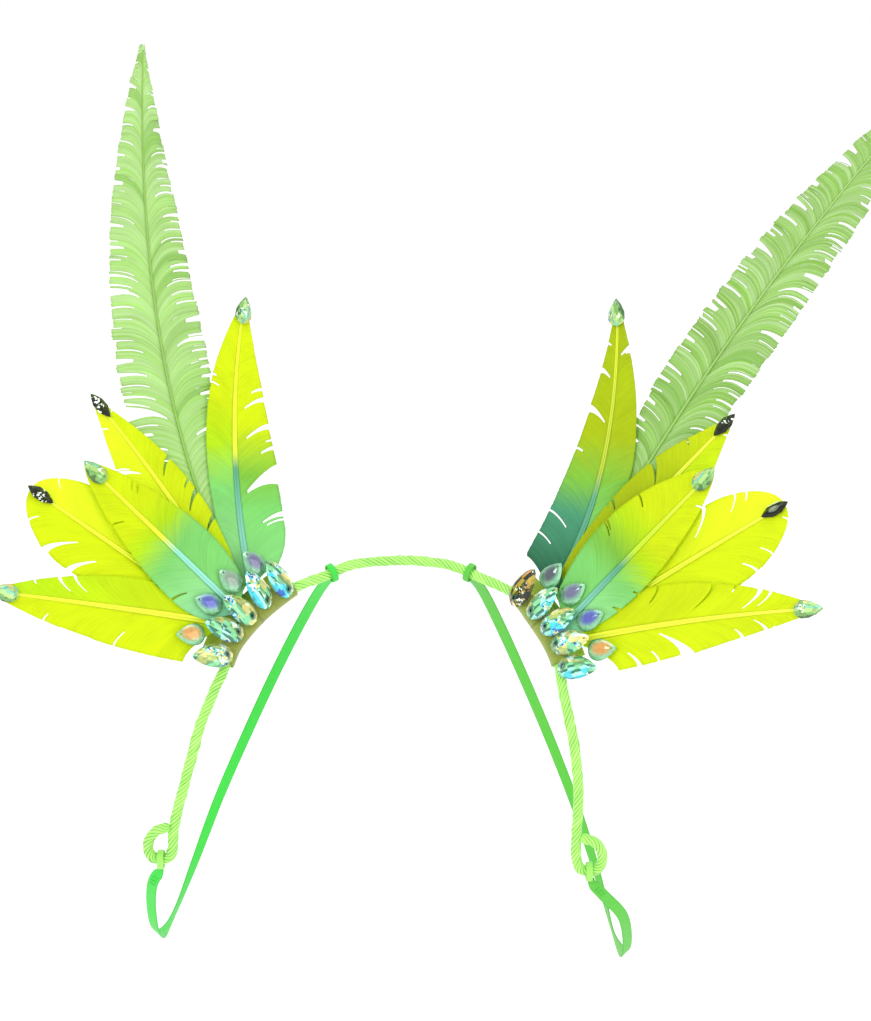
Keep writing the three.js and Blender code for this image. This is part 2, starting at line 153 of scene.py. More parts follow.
LEMON_QUILL = ((0, LEMON),)
RIGHT_FEATHERS = (
    feather_spec(
        "plume", ((8, 23), (52, 185), (-28, 423)), 0.9, ((0, GRASS), (0.5, LEAF)),
        edge(33, 0.42, (0.16, 0.9), ((0, PALE_LIME),), ((0.36, 0.15, 9), (0.30, 0.3, 6), (0.56, 0.3, 3))),
        edge(33, 0.45, (0.22, 0.9), ((0, PALE_LIME),), ((0.47, 0.3, 3.5), (0.24, 0.5, 4)))),
    feather_spec(
        "feather_1", ((2, 28), (-2, 130), (-47, 226)), 0.9, ((0, AQUA), (0.42, TEAL), (0.48, LEMON)),
        edge(19, 0.55, (0.6, 0.8), ((0, PALE_MINT), (0.3, MINT), (0.45, LIME), (0.6, YELLOW))),
        edge(31, 0.22, (0.55, 0.7), ((0, PALE_MINT), (0.3, MINT), (0.42, GRASS), (0.6, YELLOW)),
             ((0.31, 0.12, 14), (0.49, 0.22, 3.6), (0.60, 0.25, 2.8), (0.64, 0.5, 1.6), (0.40, 0.6, 2.0),
              (0.17, 0.45, 3))),
        TIP_DROP),
    feather_spec(
        "feather_2", ((18, 24), (38, 100), (79, 180)), 1.0, LEMON_QUILL,
        edge(23, 0.5, (0.6, 0.9), ((0, LIME), (0.4, YELLOW), (1, LEMON)),
             ((0.62, 0.3, 3.4), (0.3, 0.45, 2.4))),
        edge(18, 0.45, (0.7, 1.0), ((0, LIME), (0.4, YELLOW)),
             ((0.26, 0.35, 2.4), (0.38, 0.25, 2.8), (0.56, 0.25, 2.2))),
        TIP_NAVETTE),
    feather_spec(
        "feather_4", ((36, 22), (83, 71), (136, 129)), 0.5, LEMON_QUILL,
        edge(30, 0.7, (1.0, 1.3), ((0, LIME), (0.3, YELLOW)), ((0.58, 0.35, 4.5), (0.43, 0.45, 3.4))),
        edge(25, 0.72, (1.1, 1.5), ((0, LIME), (0.3, YELLOW), (1, LEMON)), ((0.36, 0.2, 5),)),
        TIP_NAVETTE),
    feather_spec(
        "feather_5", ((26, 10), (102, 41), (178, 69)), 0.8, LEMON_QUILL,
        edge(28, 0.16, (0.9, 1.2), ((0, LIME), (0.25, YELLOW))),
        edge(20, 0.4, (1.0, 1.4), ((0, YELLOW), (1, LIME)), ((0.54, 0.4, 1.6), (0.62, 0.4, 1.8))),
        TIP_DROP),
    feather_spec(
        "feather_3", ((16, 14), (57, 76), (97, 137)), 0.7, ((0.42, AQUA), (0.52, LEMON)),
        edge(25, 0.3, (0.6, 1.0), ((0, AQUA), (0.25, PALE_MINT), (0.44, MINT), (0.56, LIME), (0.65, YELLOW))),
        edge(24, 0.35, (0.6, 1.0), ((0, PALE_MINT), (0.3, MINT), (0.46, MINT), (0.58, LIME), (0.7, YELLOW)),
             ((0.70, 0.5, 1.0),)),
        TIP_DROP),
)
LEFT_FEATHERS = (
    feather_spec(
        "plume", ((19.5, 25), (70, 212), (164, 398)), 0.5, ((0, GRASS), (0.5, LEAF), (1, PALE_LIME)),
        edge(28, 0.55, (0.95, 0.8), ((0, LEAF),), ((0.60, 0.2, 4),)),
        edge(29, 0.5, (0.4, 0.3), ((0, LEAF),), ((0.66, 0.35, 3.5), (0.86, 0.3, 5)))),
    feather_spec(
        "feather_1", ((4, 22), (37, 108), (-1, 232)), 1.0, ((0.4, TEAL), (0.5, OLIVE_YELLOW), (1, YELLOW)),
        edge(20, 0.5, (0.6, 0.8), ((0, TEAL), (0.3, MINT), (0.45, GRASS), (0.6, OLIVE_YELLOW)),
             ((0.84, 0.3, 2.4),)),
        edge(29, 0.12, (0.6, 0.9), ((0, DEEP_TEAL), (0.3, TEAL), (0.42, GRASS), (0.58, OLIVE_YELLOW)),
             ((0.63, 0.2, 4.2), (0.77, 0.3, 2.6), (0.12, 0.5, 0.4), (0.22, 0.4, 0.4))),
        TIP_DROP),
    feather_spec(
        "feather_2", ((13, 26), (61, 102), (102, 170)), 1.0, ((0, YELLOW), (1, LEMON)),
        edge(23, 0.5, (0.8, 1.0), ((0, OLIVE_YELLOW), (0.4, LIME), (1, YELLOW)), ((0.66, 0.3, 3.4),)),
        edge(21, 0.5, (0.8, 1.0), ((0.4, OLIVE_YELLOW), (1, YELLOW)), ((0.53, 0.3, 4.4), (0.3, 0.6, 1.4))),
        TIP_NAVETTE),
    feather_spec(
        "feather_4", ((42, 16), (96, 69), (152, 121)), 0.5, ((0, YELLOW), (1, LEMON)),
        edge(31, 0.62, (1.0, 1.4), ((0, OLIVE_YELLOW), (0.3, YELLOW)), ((0.52, 0.6, 1.0),)),
        edge(26, 0.7, (1.0, 1.5), ((0, OLIVE_YELLOW), (0.3, YELLOW), (1, LEMON)), ((0.46, 0.35, 1.8),)),
        TIP_NAVETTE),
    feather_spec(
        "feather_5", ((30, -2), (112, 36), (192, 60)), 0.9, LEMON_QUILL,
        edge(24, 0.12, (1.1, 1.4), ((0, LIME), (0.2, YELLOW)),
             ((0.31, 0.15, 9), (0.58, 0.5, 1.8), (0.7, 0.3, 2.2), (0.1, 0.5, 2.4))),
        edge(25, 0.38, (1.0, 1.4), ((0, LIME), (0.2, YELLOW)),
             ((0.44, 0.3, 2.6), (0.66, 0.2, 2.8), (0.71, 0.3, 1.6))),
        TIP_DROP),
    feather_spec(
        "feather_3", ((21, 3), (61, 69), (100, 132)), 0.7, ((0, AQUA), (0.4, TEAL), (0.5, LIME), (1, LEMON)),
        edge(21, 0.42, (0.7, 1.0), ((0, AQUA), (0.2, PALE_MINT), (0.38, MINT), (0.5, LIME), (0.6, YELLOW)),
             ((0.16, 0.7, 1.6),)),
        edge(29, 0.48, (0.7, 1.0), ((0.3, MINT), (0.42, GRASS), (0.55, LIME), (0.66, YELLOW)),
             ((0.34, 0.75, 1.2),)),
        TIP_DROP),
)

# ---- the two sides. Stones are (outward, up, degrees that the point is turned outward) ----
# A lead is where a large stone's colours start on its ramp.
SIDES = {
    "right": dict(
        mirror=-1,
        fan_at=(92, -47, -30),
        pad_line=((-31, 23.5), (-16, 18.5), (0, 11.5), (15, 2.5), (26, -6), (34, -16)),
        arm=((126, -89, -57), (133, -99, -72), (139, -107, -91), (145, -112, -112), (151, -116, -134),
             (154, -118, -148)),
        loop=dict(centre=(163.2, -120, -160.5), radius=8.2,
                  close=((170, -120, -152), (165, -120, -145.5), (159, -120, -143))),
        strap=((164.3, -120.4, -177.8), (169.5, -119, -187), (173, -113, -206), (174, -98, -242),
               (172, -72, -264), (167, -38, -268), (156, -4, -250), (139, 24, -212), (117, 39, -164),
               (94, 40, -112), (72, 29, -62), (57, 10, -27), (50.5, -2, -13.5)),
        strap_green=srgb(50, 226, 62),
        felt_olive=srgb(178, 198, 56),
        feathers=RIGHT_FEATHERS,
        large_stones=((-14, 32, 25), (2.7, 28.5, 22), (19, 18.5, 44), (33, 8, 60), (45.5, -7.5, 79)),
        large_leads=(0.0, 0.05, 0.45, 0.2, 0.45),
        small_stones=((0, 47, 30), (19.5, 39, 33), (38.5, 27.5, 58), (56, 10, 76)),
        dome_centres=(DUSK, SAGE, INDIGO, GOLD),
    ),
    "left": dict(
        mirror=1,
        fan_at=(91, -45, -30),
        pad_line=((-23, 20.5), (-13, 15.8), (-3, 8.1), (8, -0.7), (17, -9), (25, -19)),
        arm=((110, -79, -55), (113.5, -93, -69), (117.5, -103, -87), (120.4, -112, -112),
             (120.8, -116, -134), (119.9, -118, -149)),
        loop=dict(centre=(129.4, -120, -170), radius=8.6,
                  close=((137, -120, -161), (132, -120, -154.5), (125.8, -120, -152))),
        strap=((131.4, -120.4, -187.6), (140, -118.6, -199), (154, -112, -220), (159.5, -102, -246),
               (160, -86, -272), (156, -52, -284), (148, -14, -266), (133, 18, -226), (113, 36, -176),
               (91, 39, -120), (71, 29, -67), (57, 10, -28), (50.5, -2, -13.5)),
        strap_green=srgb(88, 206, 52),
        felt_olive=srgb(190, 220, 74),
        feathers=LEFT_FEATHERS,
        large_stones=((-10, 26, 24), (6.7, 19.3, 38), (20.8, 9.8, 50), (33, -2, 67), (42.3, -17.5, 78)),
        large_leads=(0.0, 0.15, 0.0, 0.5, 0.1),
        small_stones=((7, 39, 28), (25.5, 30.5, 43), (42, 16.5, 52), (55.5, -1.5, 70)),
        dome_centres=(SLATE, DUSK, INDIGO, GOLD),
    ),
}


# ---- camera, light and floor ----
def add_camera():
    target = Vector((24.2, 14.7, 31.4)) * MM
    elevation = math.radians(25)
    away = Vector((0, -math.cos(elevation), math.sin(elevation)))
    data = bpy.data.cameras.new("camera")
    data.lens = 75
    data.sensor_width = 36
    camera = bpy.data.objects.new("camera", data)
    camera.location = target + away * 1490 * MM
    camera.rotation_euler = (-away).to_track_quat("-Z", "Y").to_euler()
    bpy.context.scene.collection.objects.link(camera)
    bpy.context.scene.camera = camera


def add_light(name, place, target, size, power):
    data = bpy.data.lights.new(name, "AREA")
    data.shape = "RECTANGLE"
    data.size, data.size_y = size
    data.energy = power
    light = bpy.data.objects.new(name, data)
    light.location = place
    light.rotation_euler = (Vector(target) - Vector(place)).to_track_quat("-Z", "Y").to_euler()
    bpy.context.scene.collection.objects.link(light)


def add_studio():
    world = bpy.data.worlds.new("studio")
    world.use_nodes = True
    background = world.node_tree.nodes["Background"]
    background.inputs["Color"].default_value = (1.0, 1.0, 1.0, 1.0)
    background.inputs["Strength"].default_value = 1.0
    bpy.context.scene.world = world
    bpy.context.scene.view_settings.view_transform = "Standard"
    middle = (0.02, 0.0, 0.0)
    add_light("key", (-0.9, -1.5, 1.5), middle, (0.8, 0.8), 15)
    add_light("fill", (1.3, -1.2, 0.5), middle, (1.2, 1.2), 5)
    add_light("top", (0.2, 0.5, 1.9), middle, (1.5, 1.0), 7)


# ---- curves ----
def catmull(points, per_span=24):
    """Centripetal spline through the points, as rows of places."""
    given = np.array(points, float)
    knots = np.vstack([2 * given[0] - given[1], given, 2 * given[-1] - given[-2]])
    share = np.linspace(0, 1, per_span, endpoint=False)[:, None]
    spans = []
    for before, start, end, after in zip(knots, knots[1:], knots[2:], knots[3:]):
        pairs = ((before, start), (start, end), (end, after))
        gaps = [max(np.linalg.norm(b - a), 1e-8) ** 0.5 for a, b in pairs]
        leaving = (start - before) / gaps[0] - (end - before) / (gaps[0] + gaps[1]) + (end - start) / gaps[1]
        arriving = (end - start) / gaps[1] - (after - start) / (gaps[1] + gaps[2]) + (after - end) / gaps[2]
        leaving, arriving = leaving * gaps[1], arriving * gaps[1]
        spans.append(start + leaving * share
                     + (3 * (end - start) - 2 * leaving - arriving) * share ** 2
                     + (2 * (start - end) + leaving + arriving) * share ** 3)
    return np.vstack(spans + [given[-1:]])


def walked(path):
    """Distance along a path at each of its points."""
    return np.concatenate([[0], np.cumsum(np.linalg.norm(np.diff(path, axis=0), axis=1))])


def resampled(path, step):
    """The same path with a point every step, near enough."""
    distance = walked(path)
    count = max(2, int(round(distance[-1] / step)) + 1)
    places = np.linspace(0, distance[-1], count)
    return np.column_stack([np.interp(places, distance, path[:, axis]) for axis in range(3)])


def tangents(path):
    along = np.gradient(path, axis=0)
    return along / np.linalg.norm(along, axis=1, keepdims=True)


def carried_frames(path, first_up=(0, 0, 1)):
    """Two directions across the path at each point, carried along it without twist."""
    along = tangents(path)
    up = np.array(first_up, float)
    ups = []
    for direction in along:
        up = up - direction * up.dot(direction)
        up = up / np.linalg.norm(up)
        ups.append(up)
    ups = np.array(ups)
    return ups, np.cross(along, ups)


def smoothstep(low, high, value):
    share = np.clip((value - low) / (high - low), 0, 1)
    return share * share * (3 - 2 * share)


def mirrored(points, side):
    return np.asarray(points, float) * (side["mirror"], 1, 1)


def fan_axes():
    cos_tilt, sin_tilt = math.cos(FAN_TILT), math.sin(FAN_TILT)
    cos_toe, sin_toe = math.cos(FAN_TOE_IN), math.sin(FAN_TOE_IN)
    outward = (cos_toe, -sin_toe, 0)
    upward = (sin_toe * cos_tilt, cos_toe * cos_tilt, sin_tilt)
    facing = (-sin_toe * sin_tilt, -cos_toe * sin_tilt, cos_tilt)
    return np.array([outward, upward, facing])


FAN_AXES = fan_axes()


def fan_to_world(side, points):
    """From places in the fan's own plane (outward, up, along its normal) to the side's half of the object."""
    return mirrored(np.asarray(points, float) @ FAN_AXES + side["fan_at"], side)


def world_to_fan(side, points):
    return (mirrored(points, side) - side["fan_at"]) @ FAN_AXES.T


def curled(points):
    fallen = points.copy()
    fallen[..., 2] -= CURL * (points[..., 0] ** 2 + points[..., 1] ** 2)
    return fallen


# ---- meshes ----
def make_object(name, points, faces, smooth=True):
    mesh = bpy.data.meshes.new(name)
    mesh.from_pydata((np.asarray(points, float).reshape(-1, 3) * MM).tolist(), [], faces)
    mesh.polygons.foreach_set("use_smooth", np.full(len(mesh.polygons), smooth))
    mesh.update()
    piece = bpy.data.objects.new(name, mesh)
    bpy.context.scene.collection.objects.link(piece)
    return piece


def grid_faces(rows, columns, closed=False, open_cells=None, first=0):
    faces = []
    for row in range(rows - 1):
        for column in range(columns if closed else columns - 1):
            if open_cells is not None and open_cells[row, column]:
                continue
            a = first + row * columns + column
            b = first + row * columns + (column + 1) % columns
            faces.append((a, b, b + columns, a + columns))
    return faces


def tube_faces(rows, columns, first=0):
    """Faces of a closed tube with both ends capped."""
    ends = [tuple(range(first + columns - 1, first - 1, -1)),
            tuple(range(first + (rows - 1) * columns, first + rows * columns))]
    return grid_faces(rows, columns, closed=True, first=first) + ends


def tint_points(piece, colours):
    layer = piece.data.color_attributes.new("tint", "FLOAT_COLOR", "POINT")
    flat = np.ones((len(piece.data.vertices), 4), np.float32)
    flat[:, :3] = np.asarray(colours).reshape(-1, 3)
    layer.data.foreach_set("color", flat.ravel())


def lay_points(piece, across, along, name="lay"):
    """A map from each point to its place across and along the piece, for grain that follows it."""
    layer = piece.data.uv_layers.new(name=name)
    corners = np.empty(len(piece.data.loops), np.int32)
    piece.data.loops.foreach_get("vertex_index", corners)
    flat = np.column_stack([np.ravel(across), np.ravel(along)])[corners]
    layer.data.foreach_set("uv", flat.astype(np.float32).ravel())


def keep_modifiers(piece):
    """The modified mesh becomes the piece's own."""
    evaluated = piece.evaluated_get(bpy.context.evaluated_depsgraph_get())
    mesh = bpy.data.meshes.new_from_object(evaluated, preserve_all_data_layers=True,
                                           depsgraph=bpy.context.evaluated_depsgraph_get())
    piece.modifiers.clear()
    piece.data = mesh


def face_outward(piece):
    shape = bmesh.new()
    shape.from_mesh(piece.data)
    bmesh.ops.recalc_face_normals(shape, faces=shape.faces)
    shape.to_mesh(piece.data)
    shape.free()


def finish_piece(piece, material, body, slot, *replaced):
    piece.data.materials.clear()
    piece.data.materials.append(material)
    if body:
        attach(piece, body)
    if replaced:
        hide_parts(*replaced)
    return piece


# ---- materials ----
class Shader:
    """A material's nodes, with short ways to add and join them."""

    def __init__(self, name):
        self.material = bpy.data.materials.new(name)
        self.material.use_nodes = True
        self.tree = self.material.node_tree
        self.principled = self.tree.nodes["Principled BSDF"]
        self.output = self.tree.nodes["Material Output"]

    def feed(self, socket, value):
        if isinstance(value, bpy.types.NodeSocket):
            self.tree.links.new(value, socket)
        else:
            socket.default_value = value

    def node(self, kind, settings=None, **inputs):
        made = self.tree.nodes.new(kind)
        for key, value in (settings or {}).items():
            setattr(made, key, value)
        for key, value in inputs.items():
            self.feed(made.inputs[key.replace("_", " ")], value)
        return made

    def surface(self, **inputs):
        for key, value in inputs.items():
            self.feed(self.principled.inputs[key.replace("_", " ")], value)

    def tint(self):
        return self.node("ShaderNodeVertexColor", {"layer_name": "tint"}).outputs["Color"]

    def laid(self, across, along):
        place = self.node("ShaderNodeUVMap", {"uv_map": "lay"}).outputs["UV"]
        return self.node("ShaderNodeMapping", Vector=place, Scale=(across, along, 1)).outputs["Vector"]

    def place(self, scale):
        where = self.node("ShaderNodeTexCoord").outputs["Object"]
        return self.node("ShaderNodeMapping", Vector=where, Scale=(scale, scale, scale)).outputs["Vector"]

    def noise(self, vector, detail=3.0, roughness=0.6, scale=1.0):
        return self.node("ShaderNodeTexNoise", Vector=vector, Scale=scale, Detail=detail,
                         Roughness=roughness).outputs["Fac"]

    def spread(self, value, low, high, start=0.3, end=0.7):
        made = self.node("ShaderNodeMapRange", Value=value)
        for key, number in (("From Min", start), ("From Max", end), ("To Min", low), ("To Max", high)):
            made.inputs[key].default_value = number
        return made.outputs["Result"]

    def calculate(self, operation, a, b):
        made = self.node("ShaderNodeMath", {"operation": operation})
        self.feed(made.inputs[0], a)
        self.feed(made.inputs[1], b)
        return made.outputs["Value"]

    def times(self, a, b):
        return self.calculate("MULTIPLY", a, b)

    def plus(self, a, b):
        return self.calculate("ADD", a, b)

    def mixed(self, kind, share, a, b, blend="MIX"):
        """kind is FLOAT or RGBA."""
        made = self.node("ShaderNodeMix", {"data_type": kind, "blend_type": blend})
        first = {"FLOAT": 2, "RGBA": 6}[kind]
        self.feed(made.inputs[0], share)
        self.feed(made.inputs[first], a)
        self.feed(made.inputs[first + 1], b)
        return made.outputs[{"FLOAT": 0, "RGBA": 2}[kind]]

    def cells(self, vector, scale):
        """Random patches: two numbers for each, from 0 to 1."""
        found = self.node("ShaderNodeTexVoronoi", Vector=vector, Scale=scale, Randomness=1.0).outputs["Color"]
        parted = self.node("ShaderNodeSeparateColor", Color=found).outputs
        return parted["Red"], parted["Green"]

    def stepped(self, value, stops):
        """A colour picked by a value from (where it starts, colour) stops."""
        ramp = self.node("ShaderNodeValToRGB", Fac=value)
        ramp.color_ramp.interpolation = "CONSTANT"
        steps = ramp.color_ramp.elements
        while len(steps) < len(stops):
            steps.new(0.5)
        for step, (start, colour) in zip(steps, stops):
            step.position = start
            step.color = (*colour, 1.0)
        return ramp.outputs["Color"]

    def shaded(self, colour, amount):
        """The colour made darker or lighter by an amount."""
        made = self.tree.nodes.new("ShaderNodeVectorMath")
        made.operation = "SCALE"
        self.feed(made.inputs[0], colour)
        self.feed(made.inputs["Scale"], amount)
        return made.outputs["Vector"]

    def bump(self, height, strength, distance):
        made = self.node("ShaderNodeBump", Height=height, Strength=strength, Distance=distance)
        return made.outputs["Normal"]

    def through(self, colour, share, normal):
        """Some of the light passes through, as it does through a thin vane."""
        thin = self.node("ShaderNodeBsdfTranslucent", Color=colour, Normal=normal)
        mixed = self.tree.nodes.new("ShaderNodeMixShader")
        mixed.inputs["Fac"].default_value = share
        self.tree.links.new(self.principled.outputs["BSDF"], mixed.inputs[1])
        self.tree.links.new(thin.outputs["BSDF"], mixed.inputs[2])
        self.tree.links.new(mixed.outputs["Shader"], self.output.inputs["Surface"])


def vane_material(name, barb_depth, light_through, streak_low, streak_high):
    shader = Shader(name)
    barbs = shader.noise(shader.laid(0.9, 1.9), detail=2.0)
    blotches = shader.noise(shader.laid(1.3, 0.09), detail=2.0)
    streaks = shader.times(shader.spread(barbs, streak_low, streak_high), shader.spread(blotches, 0.96, 1.04))
    colour = shader.shaded(shader.tint(), streaks)
    normal = shader.bump(barbs, 0.5, barb_depth)
    shader.surface(Base_Color=colour, Roughness=0.6, Normal=normal, Specular_IOR_Level=0.18)
    shader.through(colour, light_through, normal)
    return shader.material


def quill_material():
    shader = Shader("quill")
    grain = shader.noise(shader.laid(5.0, 0.12), detail=3.0)
    colour = shader.shaded(shader.tint(), shader.spread(grain, 0.8, 0.96))
    shader.surface(Base_Color=colour, Roughness=0.35, Normal=shader.bump(grain, 0.3, 0.00015),
                   Specular_IOR_Level=0.3, Coat_Weight=0.2, Coat_Roughness=0.15)
    return shader.material


def cord_material():
    shader = Shader("satin_cord")
    fibres = shader.noise(shader.laid(14.0, 0.8), detail=3.0)
    colour = shader.shaded(shader.tint(), shader.spread(fibres, 0.82, 1.12))
    shader.surface(Base_Color=colour, Roughness=0.42, Normal=shader.bump(fibres, 0.5, 0.00025),
                   Sheen_Weight=0.3, Anisotropic=0.4)
    return shader.material


def felt_material():
    shader = Shader("olive_felt")
    fuzz = shader.noise(shader.place(900.0), detail=5.0, roughness=0.75)
    mottle = shader.noise(shader.place(140.0), detail=3.0)
    shade = shader.times(shader.spread(fuzz, 0.75, 1.15), shader.spread(mottle, 0.85, 1.1))
    shader.surface(Base_Color=shader.shaded(shader.tint(), shade), Roughness=0.95,
                   Normal=shader.bump(fuzz, 0.8, 0.0005), Sheen_Weight=0.5, Sheen_Roughness=0.6)
    return shader.material


def elastic_material():
    shader = Shader("woven_elastic")
    lay = shader.node("ShaderNodeUVMap", {"uv_map": "lay"}).outputs["UV"]
    ribs = shader.node("ShaderNodeTexWave", {"wave_type": "BANDS", "bands_direction": "X"}, Vector=lay,
                       Scale=0.42, Distortion=0.15).outputs["Fac"]
    picks = shader.node("ShaderNodeTexWave", {"wave_type": "BANDS", "bands_direction": "Y"}, Vector=lay,
                        Scale=0.52, Distortion=0.4).outputs["Fac"]
    yarn = shader.noise(shader.laid(2.5, 2.5), detail=3.0)
    weave = shader.times(ribs, picks)
    height = shader.plus(weave, shader.times(yarn, 0.4))
    shade = shader.times(shader.spread(height, 0.8, 1.08, 0.1, 1.1), shader.spread(yarn, 0.92, 1.05))
    shader.surface(Base_Color=shader.shaded(shader.tint(), shade), Roughness=0.6,
                   Normal=shader.bump(height, 0.6, 0.0003), Sheen_Weight=0.25)
    return shader.material


def crystal_material(name, stops, metallic, gloss, broken_share, ring_at=None):
    """Foil-backed cut glass: patches of colour seen through the facets, under a clear polished face.

    The tint's alpha leads the colours from one side of a stone to the other, and some patches break into
    glitter, some of whose cells are turned white as painted glints.
    """
    shader = Shader(name)
    lay = shader.laid(1.0, 1.0)
    patch, kind = shader.cells(lay, 0.17)
    grain, glint_pick = shader.cells(lay, 0.8)
    zone = shader.node("ShaderNodeVertexColor", {"layer_name": "tint"}).outputs["Alpha"]
    led = shader.plus(shader.times(zone, 0.78), shader.times(patch, 0.34))
    broken = shader.calculate("GREATER_THAN", kind, 1 - broken_share)
    value = shader.mixed("FLOAT", broken, shader.plus(led, -0.06), grain)
    colour = shader.stepped(value, stops)
    # Painted highlight: some glitter cells are turned white as painted glints.
    painted_glint = shader.times(broken, shader.calculate("GREATER_THAN", glint_pick, 0.8))
    colour = shader.mixed("RGBA", painted_glint, colour, (0.92, 1.0, 0.96, 1.0))
    colour = shader.mixed("RGBA", 1.0, colour, shader.tint(), "MULTIPLY")
    if ring_at is not None:
        spot = shader.node("ShaderNodeUVMap", {"uv_map": "spot"}).outputs["UV"]
        gap = shader.node("ShaderNodeVectorMath", {"operation": "DISTANCE"})
        shader.feed(gap.inputs[0], spot)
        shader.feed(gap.inputs[1], (0.0, ring_at, 0.0))
        ring = shader.spread(gap.outputs["Value"], 0.85, 0.0, 2.2, 3.1)
        colour = shader.mixed("RGBA", ring, colour, (*RING_TEAL, 1.0))
    shader.surface(Base_Color=colour, Roughness=0.1, Metallic=metallic, Coat_Weight=gloss,
                   Coat_Roughness=0.02, Specular_IOR_Level=0.5 * gloss)
    return shader.material


def dome_material():
    shader = Shader("smooth_drop")
    clouds = shader.noise(shader.laid(0.5, 0.5), detail=2.0)
    shader.surface(Base_Color=shader.shaded(shader.tint(), shader.spread(clouds, 0.8, 1.15)), Roughness=0.06,
                   Metallic=0.25, Coat_Weight=1.0, Coat_Roughness=0.02, Specular_IOR_Level=0.8)
    return shader.material


def plain_material(name, colour, roughness, metallic=0.0):
    shader = Shader(name)
    wear = shader.noise(shader.place(400.0), detail=4.0)
    base = shader.node("ShaderNodeRGB").outputs["Color"]
    base.default_value = (*colour, 1.0)
    shader.surface(Base_Color=shader.shaded(base, shader.spread(wear, 0.8, 1.1)), Roughness=roughness,
                   Metallic=metallic, Normal=shader.bump(wear, 0.3, 0.0001))
    return shader.material


def floor_material():
    shader = Shader("floor")
    shader.surface(Base_Color=(0.97, 0.97, 0.97, 1.0), Roughness=1.0, Specular_IOR_Level=0.0)
    return shader.material


RING_TEAL = srgb(36, 88, 84)
CRYSTAL = ((0.0, srgb(34, 96, 196)), (0.12, srgb(64, 206, 226)), (0.3, srgb(168, 240, 224)),
           (0.38, srgb(44, 120, 96)), (0.45, srgb(132, 212, 156)), (0.56, srgb(98, 158, 104)),
           (0.65, srgb(176, 186, 104)), (0.74, srgb(238, 226, 140)), (0.86, srgb(226, 252, 236)))
GOLD_GLITTER = ((0.0, srgb(20, 34, 22)), (0.3, srgb(84, 84, 34)), (0.42, srgb(196, 168, 70)),
                (0.60, srgb(24, 40, 26)), (0.72, srgb(236, 158, 24)), (0.80, srgb(90, 120, 70)),
                (0.90, srgb(214, 170, 140)))
CLEAR_GREEN = ((0.0, srgb(60, 108, 44)), (0.25, srgb(116, 168, 84)), (0.45, srgb(170, 206, 120)),
               (0.62, srgb(120, 190, 150)), (0.78, srgb(204, 186, 96)), (0.92, srgb(240, 250, 236)))
# Dark olive glass; its last, near-white stop is painted highlight, for the glints on the navettes.
DARK_OLIVE_AND_GLINTS = ((0.0, srgb(16, 22, 6)), (0.4, srgb(34, 44, 10)), (0.65, srgb(66, 82, 22)),
              (0.84, srgb(20, 28, 8)), (0.94, srgb(210, 220, 190)))

MATERIALS = {
    "vane": vane_material("feather_vane", 0.00022, 0.30, 0.88, 1.0),
    "plume": vane_material("plume_vane", 0.0003, 0.34, 0.84, 1.04),
    "quill": quill_material(),
    "cord": cord_material(),
    "felt": felt_material(),
    "elastic": elastic_material(),
    "crystal": crystal_material("foiled_crystal", CRYSTAL, 0.3, 1.0, 0.2, LARGE_DROP["holes"][0][1]),
    "gold": crystal_material("gold_glitter_crystal", GOLD_GLITTER, 0.5, 0.8, 0.6, LARGE_DROP["holes"][0][1]),
    "tip": crystal_material("clear_green_crystal", CLEAR_GREEN, 0.2, 1.0, 0.12),
    "olive": crystal_material("dark_olive_crystal", DARK_OLIVE_AND_GLINTS, 0.1, 0.35, 0.25),
    "dome": dome_material(),
    "steel": plain_material("steel_wire", srgb(140, 143, 146), 0.4, 1.0),
    "thread": plain_material("sewing_thread", srgb(70, 190, 60), 0.7),
    "floor": floor_material(),
}


# ---- the wire's route ----
def wire_route(side):
    pad = [tuple(p) for p in fan_to_world(dict(side, mirror=1), [(x, y, 0) for x, y in side["pad_line"]])]
    x, y, z = side["loop"]["centre"]
    radius = side["loop"]["radius"]
    turns = [math.radians(turn) for turn in (180, 225, 270, 315, 360)]
    loop = [(x + radius * math.cos(turn), y, z + radius * math.sin(turn)) for turn in turns]
    close = np.array(side["loop"]["close"], float)
    into_arm = close[-1] + (close[-1] - close[-2]) * 0.55
    points = [*NAPE_ROUTE, *pad, *side["arm"], *loop, *close, into_arm]
    return mirrored(catmull(points), side)


def nearest(path, place):
    return int(np.argmin(np.linalg.norm(path - np.asarray(place, float), axis=1)))


# ---- elastic straps ----
def body_normal(path, side):
    """The webbing lies flat against an upright oval body."""
    sideways = path[:, 0] / BODY["half_width"] ** 2
    back = (path[:, 1] - BODY["middle_y"]) / BODY["half_depth"] ** 2
    out = np.column_stack([sideways, back, np.zeros(len(path))])
    return out / np.linalg.norm(out, axis=1, keepdims=True)


def webbing_section(count_across=15):
    """Places round the webbing's section, from -1 to 1 each way, with soft edges."""
    across = np.sin(np.linspace(-math.pi / 2, math.pi / 2, count_across))
    lift = np.sqrt(np.clip(1 - np.abs(across) ** 6, 0, 1)) * 0.92 + 0.08
    over = np.column_stack([across, lift])
    under = np.column_stack([across[::-1], -lift[::-1]])
    return np.vstack([over, under])


def swept(path, across, out, width, thick, section):
    """Rings of a section that follows the path, as wide and as thick as asked at each point."""
    sideways = across[:, None, :] * section[None, :, :1] * (width / 2)[:, None, None]
    outward = out[:, None, :] * section[None, :, 1:] * (thick / 2)[:, None, None]
    return path[:, None, :] + sideways + outward


def sewn_eye(centre, axis, toward, section, turns=44):
    """A turn of webbing round the wire."""
    axis = axis / np.linalg.norm(axis)
    first = toward - axis * toward.dot(axis)
    first = first / np.linalg.norm(first)
    second = np.cross(axis, first)
    angles = np.linspace(0, 2 * math.pi, turns, endpoint=False)[:, None]
    radial = np.cos(angles) * first + np.sin(angles) * second
    path = centre + radial * EYE_RADIUS
    size = np.ones(turns)
    return swept(path, np.tile(axis, (turns, 1)), radial, size * EYE_WIDTH, size * STRAP_THICK, section)


